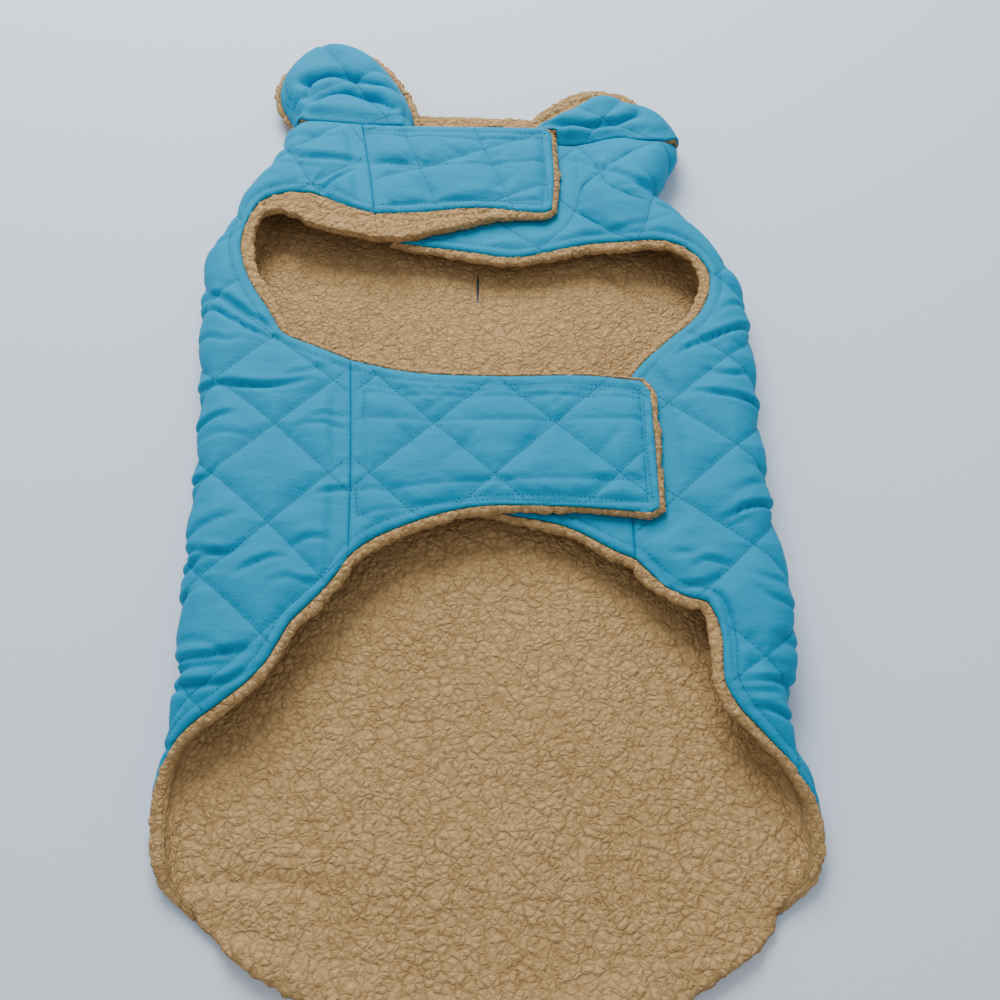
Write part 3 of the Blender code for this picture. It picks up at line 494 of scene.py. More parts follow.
def near_line(points, line, closed=False):
    """Distance from each point to a line, and how far along the line, 0 to 1."""
    start = np.array(line, float)[:, :2]
    end = np.roll(start, -1, axis=0)
    if not closed:
        start, end = start[:-1], end[:-1]
    lengths = np.linalg.norm(end - start, axis=1)
    before = np.r_[0.0, np.cumsum(lengths)]
    best = np.full(len(points), 1e9)
    along = np.zeros(len(points))
    for a, b, length, passed in zip(start, end, lengths, before):
        run = b - a
        t = np.clip(((points - a) @ run) / max(length**2, 1e-12), 0.0, 1.0)
        away = np.hypot(points[:, 0] - a[0] - t * run[0], points[:, 1] - a[1] - t * run[1])
        closer = away < best
        best = np.where(closer, away, best)
        along = np.where(closer, passed + t * length, along)
    return best, along / before[-1]


def inside(points, outline):
    """True for each point within a closed outline."""
    x, y = points[:, 0], points[:, 1]
    result = np.zeros(len(points), bool)
    for a, b in zip(outline, np.roll(outline, -1, axis=0)):
        if a[1] != b[1]:
            crosses = (a[1] > y) != (b[1] > y)
            result ^= crosses & (x < a[0] + (y - a[1]) * (b[0] - a[0]) / (b[1] - a[1]))
    return result


def exact_depth(points, outline):
    """Distance in from a closed outline, negative outside it."""
    away = near_line(points, outline, closed=True)[0]
    return np.where(inside(points, outline), away, -away)


def depth_in(points, outline, cell=6.0):
    """As exact_depth, but read from a coarse grid where the edge is far off."""
    outline = np.array(outline)[:, :2]
    low = points.min(axis=0) - cell
    count = np.ceil((points.max(axis=0) - low) / cell).astype(int) + 2
    grid = np.stack(np.meshgrid(*(np.arange(n) for n in count), indexing="ij"), axis=-1)
    coarse = exact_depth(low + grid.reshape(-1, 2) * cell, outline).reshape(count)
    at = (points - low) / cell
    i, j = at.astype(int).T
    u, v = (at - np.floor(at)).T
    depth = (coarse[i, j] * (1 - u) + coarse[i + 1, j] * u) * (1 - v)
    depth += (coarse[i, j + 1] * (1 - u) + coarse[i + 1, j + 1] * u) * v
    close = np.abs(depth) < 1.5 * cell
    if close.any():
        depth[close] = exact_depth(points[close], outline)
    return depth


# %% [markdown]
# ## Joining edges into an outline
#
# Runs of edge are joined into one closed outline.  The lining's outline is
# the shell's, moved out by the table's last column.  `refined` then puts
# points as close together as the fine cloth needs and keeps the corners.

# %% Outlines


def joined(*runs):
    """One closed outline, anticlockwise, from runs whose ends meet."""
    points = []
    for run in runs:
        for row in np.array(run, float):
            if not points or np.hypot(*(row[:2] - points[-1][:2])) > 0.2:
                points.append(row.copy())
            points[-1][2] = max(points[-1][2], row[2])
    if np.hypot(*(points[0][:2] - points[-1][:2])) < 0.2:
        points[0][2] = max(points[0][2], points.pop()[2])
    outline = np.array(points)
    return outline[::-1] if area_of(outline) < 0 else outline


def area_of(outline):
    """Area of a closed outline, negative if it runs clockwise."""
    x, y = outline[:, 0], outline[:, 1]
    return 0.5 * np.sum(x * np.roll(y, -1) - np.roll(x, -1) * y)


def outward(outline):
    """Unit directions out of a closed anticlockwise outline, at its points."""
    run = np.roll(outline[:, :2], -1, axis=0) - np.roll(outline[:, :2], 1, axis=0)
    normal = np.stack([run[:, 1], -run[:, 0]], axis=1)
    return normal / np.linalg.norm(normal, axis=1)[:, None]


def widened(outline, share=1.0):
    """Move each edge of an outline out by its own third column."""
    points = outline[:, :2]
    run = np.roll(points, -1, axis=0) - points
    normal = np.stack([run[:, 1], -run[:, 0]], axis=1)
    normal /= np.linalg.norm(normal, axis=1)[:, None]
    over = np.minimum(outline[:, 2], np.roll(outline[:, 2], -1)) * share
    result = outline.copy()
    for i in range(len(points)):
        n0, n1 = normal[i - 1], normal[i]
        h0, h1 = over[i - 1], over[i]
        cross = n0[0] * n1[1] - n0[1] * n1[0]
        if abs(cross) > 0.35:
            shift = np.array([h0 * n1[1] - h1 * n0[1], n0[0] * h1 - n1[0] * h0]) / cross
        else:
            middle = n0 + n1
            shift = middle / np.linalg.norm(middle) * (h0 + h1) / 2
        size = np.linalg.norm(shift)
        largest = 1.6 * max(h0, h1)
        if size > largest > 0:
            shift *= largest / size
        result[i, :2] += shift
    return result


def refined(outline, step, corner=38.0):
    """Spread an outline's points finely on smooth runs between its corners."""
    count = len(outline)
    run = np.roll(outline[:, :2], -1, axis=0) - outline[:, :2]
    heading = np.degrees(np.arctan2(run[:, 1], run[:, 0]))
    turn = (heading - np.roll(heading, 1) + 180.0) % 360.0 - 180.0
    corners = np.flatnonzero(np.abs(turn) > corner)
    if len(corners) == 0:
        corners = np.array([0])
    runs = []
    for a, b in zip(corners, np.roll(corners, -1)):
        length = (b - a) % count or count
        rows = outline[(a + np.arange(length + 1)) % count]
        runs.append(resample(rows, step)[:-1])
    return np.concatenate(runs)


# %% [markdown]
# ## The form the coat lies on
#
# Each piece is cut flat and then laid on a form, as a maker lays cloth on a
# stand.  The back lies on the floor, the sides run round the fold, and the
# straps lie one layer above the right side.

# %% Forms of back, sides and straps


def soft_column(table, column, y):
    """Read a table's column at y along a curve without overshoot."""
    at, value = table[:, 0], table[:, column]
    step = np.diff(at)
    slope = np.diff(value) / step
    tangent = np.zeros(len(at))
    for i in range(1, len(at) - 1):
        if slope[i - 1] * slope[i] > 0:
            weight = (2 * step[i] + step[i - 1], step[i] + 2 * step[i - 1])
            tangent[i] = sum(weight) / (weight[0] / slope[i - 1] + weight[1] / slope[i])
    tangent[0], tangent[-1] = slope[0], slope[-1]
    y = np.clip(np.asarray(y, float), at[0], at[-1])
    i = np.clip(np.searchsorted(at, y, side="right") - 1, 0, len(step) - 1)
    t = (y - at[i]) / step[i]
    return (
        (2 * t**3 - 3 * t**2 + 1) * value[i]
        + (t**3 - 2 * t**2 + t) * step[i] * tangent[i]
        + (3 * t**2 - 2 * t**3) * value[i + 1]
        + (t**3 - t**2) * step[i] * tangent[i + 1]
    )


def fold_at(side, y):
    """Base x, outermost x, rise and roundness of a side's fold."""
    table = np.array(LEFT_FOLD if side < 0 else RIGHT_FOLD, float)
    out, rise, width = (soft_column(table, k, y) for k in (1, 2, 3))
    return out - side * width, out, rise, width


def panel_level(x):
    """Height of the under layer on top, sagging between the sides."""
    share = np.clip(1.0 - (x / CREST) ** 2, 0.0, 1.0)
    return PANEL_LEVEL - SAG * share**2


def right_top(x, y):
    """Height of the right side's top, from its fold to under the straps."""
    base, out, rise, width = fold_at(1, y)
    return rise + (panel_level(x) - rise) * smooth((base - x) / 71.0)


def left_top(x, y):
    """Height of the left side's top, from its fold to the strap seams."""
    base, out, rise, width = fold_at(-1, y)
    return rise + (panel_level(x) + LAYER - rise) * smooth((x - base) / 53.5)


def top_x(side, reach, y):
    """x on top of a side, a given length in from its fold."""
    start = side * fold_at(side, y)[0]
    return side * (CREST - reach + (start - CREST) * (1.0 - smooth(reach / BLEND)))


def side_surface(side):
    """Form of one side: flat pattern x, y to the point in space."""

    def place(flat):
        x, y = flat[:, 0], flat[:, 1]
        base, out, rise, width = fold_at(side, y)
        around = side * x - CREST
        angle = np.pi * np.clip(around / TURN_LENGTH, -0.2, 1.0)
        over = around > TURN_LENGTH
        reach = np.maximum(around - TURN_LENGTH, 0.0)
        px = np.where(over, top_x(side, reach, y), base + side * width * np.sin(angle))
        top = right_top(px, y) if side > 0 else left_top(px, y)
        pz = np.where(over, top, rise / 2 * (1 - np.cos(angle)))
        return np.stack([px, y, pz], axis=1)

    return place


def pattern_rows(side, rows, turned=False):
    """Rows seen from above, or turned round the fold, to pattern x, y, over."""
    rows = np.array(rows, float)
    x, y = rows[:, 0], rows[:, 1]
    base, out, rise, width = fold_at(side, y)
    if turned:
        around = TURN_LENGTH * x / 180.0
    else:
        low, high = np.zeros(len(x)), np.full(len(x), 400.0)
        for _ in range(50):
            reach = (low + high) / 2
            short = side * top_x(side, reach, y) > side * x
            low, high = np.where(short, reach, low), np.where(short, high, reach)
        rest = np.clip(1.0 - np.abs(out - x) / width, -1.0, 1.0)
        turning = TURN_LENGTH * (90.0 + np.degrees(np.arccos(rest))) / 180.0
        around = np.where(side * (base - x) >= 0, TURN_LENGTH + reach, turning)
    return np.stack([side * (CREST + around), y, rows[:, 2]], axis=1)


def flat_surface(flat):
    """Form of the back: on the floor, its tail edge lifting a little."""
    x, y = flat[:, 0], flat[:, 1]
    near = near_line(flat, TAIL_LINE)[0]
    lift = smooth((-334.5 - y) / 21.5) * smooth(1.0 - near / 26.5)
    height = 3.6 + 1.4 * np.sin(x / 27.5) + 0.9 * np.sin(x / 11.5 + 1.0)
    return np.stack([x, y, lift * height], axis=1)


def under_surface(flat):
    """Form of the tab that runs on from the right side below the strap."""
    x, y = flat[:, 0], flat[:, 1]
    return np.stack([x, y, right_top(x, y)], axis=1)


def strap_surface(flat):
    """Form of a strap: one layer above the right side and its tab."""
    x, y = flat[:, 0], flat[:, 1]
    lean = facing(under_surface, flat, 1)[:, 2]
    return np.stack([x, y, right_top(x, y) + LAYER / lean], axis=1)


def facing(surface, flat, up):
    """Unit normals of a form, by small steps in the flat."""
    along_x = surface(flat + [0.5, 0]) - surface(flat - [0.5, 0])
    along_y = surface(flat + [0, 0.5]) - surface(flat - [0, 0.5])
    normal = np.cross(along_x, along_y) * up
    return normal / np.linalg.norm(normal, axis=1)[:, None]


# %% [markdown]
# The two collar ends are turned over and stand up in a soft dome.  Their rim
# lies higher where it rests on the neck edge, and two creases cross each.

# %% Form of a collar end


def depth_within(points, rim):
    """Distance in from an open rim that runs clockwise; negative outside it."""
    best = np.full(len(points), 1e9)
    signed = np.full(len(points), 1e9)
    for a, b in zip(rim[:-1, :2], rim[1:, :2]):
        run = b - a
        t = np.clip(((points - a) @ run) / (run @ run), 0.0, 1.0)
        away = np.linalg.norm(points - a - t[:, None] * run, axis=1)
        right = (points[:, 0] - a[0]) * run[1] - (points[:, 1] - a[1]) * run[0]
        closer = away < best - 1e-6
        best = np.where(closer, away, best)
        signed = np.where(closer, np.where(right < -1e-6, -away, away), signed)
    return signed


def collar_surface(rim, base, level, crest, rim_near, rim_far, shoulder, creases):
    """Form of a turned collar end: domed inside its rim, rolled at creases.

    Towards its base it settles to the level of the piece it is sewn to.
    """

    def place(flat):
        depth = depth_within(flat, rim)
        rim_height = rim_near + (rim_far - rim_near) * smooth((flat[:, 1] - 334.5) / 23.0)
        dome = 1.0 - (1.0 - np.clip(depth / shoulder, 0.0, 1.0)) ** 2.3
        dome += 0.0045 * np.minimum(depth, 0.0)
        top = rim_height + (crest - rim_height) * dome
        fade = smooth(depth / 14.0)
        for line, drop, half_width in creases:
            off = near_line(flat, resample(line, 5.5))[0]
            top = top - drop * fade * (1.0 - smooth(off / half_width))
        settled = 1.0 - smooth(near_line(flat, base)[0] / SETTLING)
        settled *= smooth(depth / 12.0)
        top = top + (level(flat[:, 0], flat[:, 1]) - top) * settled
        return np.stack([flat[:, 0], flat[:, 1], top], axis=1)

    return place


# %% [markdown]
# ## The pieces of the coat
#
# Now every piece is cut.  A piece keeps its form, its outline, which of its
# edges are free, and its quilting.  Free edges are hemmed and show pile; the
# others are sewn to a neighbour.

# %% Cut the pieces


def run(rows, step=DRAFT_STEP):
    """A smooth run of outline points through a table's rows."""
    return resample(rows, step)


def top_run(side, rows):
    """A run seen from above, brought into a side's flat pattern."""
    return pattern_rows(side, run(rows))


def turned_run(side, rows, start=None, end=None):
    """A run round the fold, joined to a point seen from above."""
    places = [pattern_rows(side, rows, turned=True)]
    if start:
        places.insert(0, pattern_rows(side, [start]))
    if end:
        places.append(pattern_rows(side, [end]))
    return run(np.concatenate(places))


def base_line(side, pattern=False):
    """The fold line on the floor, on the back or on a side's pattern."""
    table = LEFT_FOLD if side < 0 else RIGHT_FOLD
    first, last = table[0], table[-1]
    y = np.linspace(first[0], last[0], int((last[0] - first[0]) / DRAFT_STEP))
    if pattern:
        x = np.full(len(y), side * (CREST + SEAM_GAP))
    else:
        x = fold_at(side, y)[0] - side * SEAM_GAP / 2
    return np.stack([x, y, np.zeros(len(y))], axis=1)


def aside(rows, shift):
    """Move a seam's rows sideways by half the seam's gap."""
    return [(x + shift, y, over) for x, y, over in rows]


PIECES = {}


def cut_piece(name, surface, runs, up=1, side=0, hole=None, creases=(), sewing=(), rests_on=()):
    """Note one piece: runs are pairs of free, True or False, and points."""
    PIECES[name] = SimpleNamespace(
        name=name,
        surface=surface,
        outline=joined(*[points for free, points in runs]),
        free=[np.array(points)[:, :2] for free, points in runs if free],
        up=up,
        side=side,
        quilt=QUILTS.get(name),
        hole=None if hole is None else np.array(hole, float)[::-1],
        creases=list(creases),
        sewing=[resample(line, STITCH) for line in sewing],
        rests_on=list(rests_on),
    )


TAIL_LINE = run(TAIL_EDGE)[:, :2]

cut_piece(
    "back",
    flat_surface,
    [
        (False, base_line(-1)[::-1]),
        (False, [BACK_LEFT_CORNER]),
        (True, run(TAIL_EDGE)),
        (False, [BACK_RIGHT_CORNER]),
        (False, base_line(1)),
        (True, run(NECK_EDGE)),
    ],
    up=-1,
    hole=SLIT,
)
cut_piece(
    "left_side",
    side_surface(-1),
    [
        (False, base_line(-1, pattern=True)),
        (False, turned_run(-1, LEFT_NECK_TURN[::-1], end=LEFT_SHOULDER[-1])),
        (False, top_run(-1, LEFT_SHOULDER[::-1])),
        (False, top_run(-1, aside(NECK_SEAM[::-1], -GAP))),
        (True, top_run(-1, LEFT_LEG_RIM[::-1])),
        (False, top_run(-1, aside(BELLY_SEAM[::-1], -GAP))),
        (True, top_run(-1, LEFT_ARCH[::-1])),
        (True, turned_run(-1, LEFT_LIP[::-1], start=LEFT_ARCH[0])),
    ],
    up=-1,
    side=-1,
    creases=SIDE_CREASES["left_side"],
    rests_on=["back_sherpa"],
)
cut_piece(
    "right_side",
    side_surface(1),
    [
        (False, base_line(1, pattern=True)),
        (False, turned_run(1, RIGHT_NECK_TURN[::-1], end=CHEST_NECK_EDGE[-1])),
        (False, top_run(1, CHEST_NECK_EDGE[::-1])),
        (False, top_run(1, CHEST_END[::-1])),
        (True, top_run(1, RIGHT_LEG_RIM[::-1])),
        (False, top_run(1, aside(TAB_SEAM[::-1], GAP))),
        (True, top_run(1, RIGHT_ARCH[::-1])),
        (True, turned_run(1, RIGHT_LIP[::-1], start=RIGHT_ARCH[0])),
    ],
    up=-1,
    side=1,
    creases=SIDE_CREASES["right_side"],
    rests_on=["back_sherpa"],
)
cut_piece(
    "belly_tab",
    under_surface,
    [
        (False, run(aside([TAB_SEAM[0], TAB_TOP[0]], -GAP))),
        (False, run(TAB_TOP)),
        (False, run(TAB_END)),
        (True, run(TAB_BOTTOM)),
    ],
    rests_on=["right_side_sherpa"],
)
cut_piece(
    "belly_strap",
    strap_surface,
    [
        (False, run(aside(BELLY_SEAM[::-1], GAP))),
        (True, run(BELLY_STRAP_BOTTOM)),
        (True, run(BELLY_STRAP_END)),
        (True, run(BELLY_STRAP_TOP)),
    ],
    creases=STRAP_CREASES["belly_strap"],
    sewing=STRAP_SEWING["belly_strap"],
    rests_on=["belly_tab_quilted", "right_side_quilted"],
)
cut_piece(
    "neck_strap",
    strap_surface,
    [
        (False, run(aside(NECK_SEAM[::-1], GAP))),
        (True, run(NECK_STRAP_BOTTOM)),
        (True, run(NECK_STRAP_END)),
        (True, run(NECK_STRAP_TOP)),
    ],
    creases=STRAP_CREASES["neck_strap"],
    sewing=STRAP_SEWING["neck_strap"],
    rests_on=["right_side_quilted"],
)
left_rim, left_base = run(LEFT_COLLAR_RIM, 8.0), run(LEFT_COLLAR_BASE, 8.0)
cut_piece(
    "collar_left",
    collar_surface(left_rim, left_base, left_top, 36.5, 17.0, 19.0, 23.0, LEFT_COLLAR_CREASES),
    [(True, left_rim), (False, left_base)],
    creases=[(line, 2.0, 1.9) for line, drop, half_width in LEFT_COLLAR_CREASES],
    rests_on=["back_sherpa"],
)
right_rim, right_base = run(RIGHT_COLLAR_RIM, 8.0), run(RIGHT_COLLAR_BASE, 8.0)
cut_piece(
    "collar_right",
    collar_surface(right_rim, right_base, right_top, 35.5, 20.0, 20.0, 19.5, RIGHT_COLLAR_CREASES),
    [
        (True, right_rim),
        (False, right_base),
        (False, run(RIGHT_COLLAR_CORNER, 8.0)),
    ],
    creases=[(line, 2.0, 1.9) for line, drop, half_width in RIGHT_COLLAR_CREASES],
    rests_on=["back_sherpa"],
)
COVERS = [widened(PIECES[name].outline, 1.3) for name in ("belly_strap", "neck_strap")]
for piece in PIECES.values():
    print(piece.name, "cut of", round(area_of(piece.outline) / 100), "square cm")

# %% [markdown]
# ## Filling a cut with points
#
# Fine cloth needs an even net of points.  It is laid along the quilting where
# there is any, so that every seam runs along edges of the net, and joined by
# Blender's constrained triangulation, which keeps to the outline.  The parts
# that nobody sees get a wide net, which keeps the mesh light.

# %% Net of points in a cut


def quilt_axes(quilt):
    """One crossing, the grid steps and the matrix from x, y to the grid."""
    x, y, wide, tall, turn = quilt
    c, s = math.cos(math.radians(turn)), math.sin(math.radians(turn))
    steps = np.array([[c, -s], [s, c]]) @ np.array([[wide, -wide], [tall, tall]])
    return np.array([x, y]), steps, np.linalg.inv(steps)


def lattice(outline, step, quilt=None):
    """An even net of places over an outline's box."""
    if quilt:
        origin, steps, _ = quilt_axes(quilt)
        steps = steps / max(2, round(np.linalg.norm(steps[:, 0]) / step))
    else:
        origin = outline[:, :2].mean(axis=0)
        steps = step * np.array([[1.0, 0.5], [0.0, 0.866]])
    low, high = outline[:, :2].min(axis=0), outline[:, :2].max(axis=0)
    corners = np.array([[low[0], low[1]], [low[0], high[1]], [high[0], low[1]], high])
    reach = (corners - origin) @ np.linalg.inv(steps).T
    spans = [np.arange(math.floor(a), math.ceil(b) + 1) for a, b in zip(reach.min(0), reach.max(0))]
    index = np.stack(np.meshgrid(*spans, indexing="ij"), axis=-1).reshape(-1, 2)
    place = origin + index @ steps.T
    return place[np.all((place > low) & (place < high), axis=1)]


def fill(outline, step, quilt=None, hole=None, fine=None, fine_step=None, rows=()):
    """Points and triangles of a cut; the outline's points come first."""
    loops = [outline[:, :2]] + ([hole] if hole is not None else [])
    place = lattice(outline, step, quilt)
    depth = depth_in(place, outline)
    keep = depth > 0.6 * step
    if fine:
        keep &= ~fine(place, depth)
        close = lattice(outline, fine_step)
        close_depth = depth_in(close, outline)
        wanted = (close_depth > 0.6 * fine_step) & fine(close, close_depth)
        place = np.concatenate([place[keep], close[wanted]])
    else:
        place = place[keep]
    if hole is not None:
        place = place[exact_depth(place, hole[::-1]) < -0.8]
    if len(rows):
        rows = np.array(rows)
        rows = rows[exact_depth(rows, outline[:, :2]) > 0.5]
        near = near_line(place, rows, closed=True)[0]
        place = np.concatenate([place[near > 0.6], rows])
    points = np.concatenate(loops + [place])
    edges, first = [], 0
    for loop in loops:
        number = first + np.arange(len(loop))
        edges += list(zip(number.tolist(), np.roll(number, -1).tolist()))
        first += len(loop)
    found = delaunay_2d_cdt([Vector(p) for p in points], edges, [], 0, 1e-5)
    corners = np.array([f for f in found[2] if len(f) == 3])
    on_rim = np.all(corners < first, axis=1)
    middle = points[corners[on_rim]].mean(axis=1)
    good = inside(middle, loops[0])
    if hole is not None:
        good &= ~inside(middle, hole)
    keep = np.ones(len(corners), bool)
    keep[on_rim] = good
    return points, corners[keep]


# %% [markdown]
# ## Closing a piece into a wall
#
# A piece of cloth has two faces and an edge.  The two nets share the points
# of the outline, and a few rings between them make the edge round instead of
# cut square.  The flat places are kept as a UV map, so that the weave follows
# the cloth round every fold.

# %% Wall between two nets


def rim_directions(surface, flat, loops):
    """Directions out of the cloth's edge in space, and their flat ones."""
    first, flat_out = 0, []
    for count in loops:
        flat_out.append(outward(flat[first:first + count]))
        first += count
    flat_out = np.concatenate(flat_out)
    rim = flat[:first]
    out = surface(rim + 0.4 * flat_out) - surface(rim - 0.4 * flat_out)
    return out / np.linalg.norm(out, axis=1)[:, None], flat_out


def make_wall(name, piece, top, low, loops, rings, masks):
    """A closed wall.  top and low are (flat, triangles, offset) of a face."""
    places, flats = [], []
    for flat, corners, offset in (top, low):
        normal = facing(piece.surface, flat, piece.up)
        places.append(piece.surface(flat) + normal * offset[:, None])
        flats.append(flat)
    rim_count = sum(loops)
    out, flat_out = rim_directions(piece.surface, top[0], loops)
    ring_places, ring_flats = [], []
    for share, bulge in rings:
        middle = places[0][:rim_count] * (1 - share) + places[1][:rim_count] * share
        push = bulge(top[0][:rim_count], share)
        ring_places.append(middle + out * push[:, None])
        ring_flats.append(top[0][:rim_count] + flat_out * (push + 6.0 * share)[:, None])
    all_places = np.concatenate(places + ring_places)
    all_flats = np.concatenate(flats + ring_flats)
    all_places[:, :2] -= CENTRE
    starts = [0]
    starts += [len(top[0]) + len(low[0]) + k * rim_count for k in range(len(rings))]
    starts += [len(top[0])]
    faces = [top[1], low[1][:, ::-1] + len(top[0])]
    first = 0
    for count in loops:
        here = first + np.arange(count)
        after = first + (np.arange(count) + 1) % count
        for a, b in zip(starts, starts[1:]):
            faces.append(np.stack([after + a, here + a, here + b], axis=1))
            faces.append(np.stack([after + a, here + b, after + b], axis=1))
        first += count
    faces = np.concatenate(faces)
    mesh = bpy.data.meshes.new(name)
    mesh.vertices.add(len(all_places))
    mesh.vertices.foreach_set("co", (all_places * MM).ravel())
    mesh.loops.add(faces.size)
    mesh.polygons.add(len(faces))
    mesh.polygons.foreach_set("loop_start", np.arange(0, faces.size, 3))
    mesh.loops.foreach_set("vertex_index", faces.ravel())
    mesh.update(calc_edges=True)
    uv = mesh.uv_layers.new(name="cloth")
    uv.data.foreach_set("uv", (all_flats[faces.ravel()] * MM).ravel())
    for mask, values in masks.items():
        rims = [values[0][:rim_count]] * len(rings)
        layer = mesh.attributes.new(mask, "FLOAT", "POINT")
        layer.data.foreach_set("value", np.concatenate(list(values) + rims))
    work = bmesh.new()
    work.from_mesh(mesh)
    if work.calc_volume(signed=True) < 0:
        bmesh.ops.reverse_faces(work, faces=work.faces)
    work.to_mesh(mesh)
    work.free()
    mesh.shade_smooth()
    mesh.set_sharp_from_angle(angle=math.radians(70.0))
    made = bpy.data.objects.new(name, mesh)
    bpy.context.scene.collection.objects.link(made)
    print(name, len(mesh.polygons), "triangles")
    return made


# %% [markdown]
# ## Random but repeatable unevenness
#
# `soft_noise` is a smooth random field, and `curls` gives the height of
# clumps of pile: each clump is a round dome, and a dark crevice runs where
# two clumps meet.  Both come from a fixed rule, so the coat never changes.

# %% Noise and curls


def scatter(i, j, seed):
    """A fixed random number from 0 to 1 for each cell of a grid."""
    mixed = i.astype(np.int64) * 374761393 + j.astype(np.int64) * 668265263
    mixed = (mixed + seed * 362437) & 0xFFFFFFFF
    mixed = ((mixed ^ (mixed >> 13)) * 1274126177) & 0xFFFFFFFF
    return (mixed ^ (mixed >> 16)) / 4294967295.0


def soft_noise(points, size, seed):
    """A smooth random field from -1 to 1 with features of a given size."""
    at = points / size
    cell = np.floor(at)
    u, v = (smooth(at - cell)).T
    i, j = cell.T
    low = scatter(i, j, seed) * (1 - u) + scatter(i + 1, j, seed) * u
    high = scatter(i, j + 1, seed) * (1 - u) + scatter(i + 1, j + 1, seed) * u
    return 2.0 * (low * (1 - v) + high * v) - 1.0


def curls(points, size, seed):
    """Height of clumps of curls, from 0 in a crevice to 1."""
    bend = np.stack([soft_noise(points, 1.9 * size, seed + k) for k in (1, 2)], axis=1)
    at = (points + 0.5 * size * bend) / size
    cell = np.floor(at)
    nearest, second, tall = np.full((3, len(points)), 9.0)
    for di in (-1, 0, 1):
        for dj in (-1, 0, 1):
            i, j = cell[:, 0] + di, cell[:, 1] + dj
            dx = i + 0.5 + 0.84 * (scatter(i, j, seed) - 0.5) - at[:, 0]
            dy = j + 0.5 + 0.84 * (scatter(i, j, seed + 7) - 0.5) - at[:, 1]
            away = np.hypot(dx, dy)
            closer = away < nearest
            second = np.where(closer, nearest, np.minimum(second, away))
            tall = np.where(closer, scatter(i, j, seed + 13), tall)
            nearest = np.where(closer, away, nearest)
    dome = 1.0 - (1.0 - np.clip((second - nearest) / 0.6, 0.0, 1.0)) ** 2
    return dome * (0.6 + 0.4 * tall)


def pile(points, seed=3):
    """Height of the open pile from 0 to 1: lumps, clumps and their lie."""
    height = 0.55 * curls(points, LUMP, seed) + 0.25 * curls(points + 31.0, NUB, seed + 40)
    return height + 0.20 * (0.5 + 0.5 * soft_noise(points, 2.6 * LUMP, seed + 80))


def nubs(points, seed=17):
    """Height of the rolled edge's curls from 0 to 1."""
    return 0.75 * curls(points, NUB, seed) + 0.25 * curls(points + 57.0, 1.9 * NUB, seed + 60)


# %% [markdown]
# ## Relief of the quilted cloth
#
# Padding puffs the cloth up between its seams.  A stitched line pulls it down
# in a sharp groove and gathers it in short puckers across the line.  Creases
# are troughs with a soft lip on both sides.

# %% Relief of the shell


def seam_grid(flat, quilt):
    """Distance to the nearest quilting seam, and the place along that seam."""
    origin, steps, inverse = quilt_axes(quilt)
    grid = (flat - origin) @ inverse.T
    pitch = 1.0 / np.linalg.norm(inverse, axis=1)
    off = np.abs(grid - np.round(grid)) * pitch
    first = off[:, 0] < off[:, 1]
    lengths = np.linalg.norm(steps, axis=0)
    along = np.where(first, grid[:, 1] * lengths[1], grid[:, 0] * lengths[0])
    number = np.where(first, np.round(grid[:, 0]), 50.0 + np.round(grid[:, 1]))
    return off.min(axis=1), np.stack([along, number * 97.0], axis=1)


def crease_relief(points, creases, fold=0.0):
    """Troughs along the given lines, and how deep in one each point lies, as a mask of painted shade.

    Both lips of a trough are alike, unless fold is above 0: then the cloth on
    its neck side stands higher and hangs over it, as a pucker does.
    """
    rise, deep = np.zeros((2, len(points)))
    for line, depth, half_width in creases:
        line = resample(line, 5.0)[:, :2]
        reach = 5.0 * half_width
        low, high = line.min(axis=0) - reach, line.max(axis=0) + reach
        near = np.all((points > low) & (points < high), axis=1)
        here = points[near]
        off, along = near_line(here, line)
        neck_side = near_line(here, line - [0, 0.8])[0] - near_line(here, line + [0, 0.8])[0]
        ends = np.sin(np.pi * np.clip(along, 0.02, 0.98)) ** 0.6
        lip = hill((off - 2.6 * half_width) / (1.6 * half_width))
        lip *= 0.22 + 0.22 * fold * neck_side / 1.6
        rise[near] += depth * ends * (lip - hill(off / half_width))
        # deep is painted shade: it darkens the colour along the bottom of each trough.
        deep[near] = np.maximum(deep[near], depth / 4.0 * ends * hill(off / (0.5 * half_width)))
    return rise, deep


def free_edge_distance(piece, flat):
    """Distance from each point to the nearest free edge of a piece."""
    away = np.full(len(flat), 99.0)
    for line in piece.free:
        away = np.minimum(away, near_line(flat, resample(line, 6.0))[0])
    return away


def free_end_distance(piece, flat):
    """Distance along the nearest free edge of a piece to that edge's end."""
    least = np.full(len(flat), 99.0)
    for line in piece.free:
        length = np.sum(np.linalg.norm(np.diff(line, axis=0), axis=1))
        away, along = near_line(flat, line)
        to_end = np.minimum(along, 1.0 - along) * length
        least = np.where(away < 30.0, np.minimum(least, to_end), least)
    return least


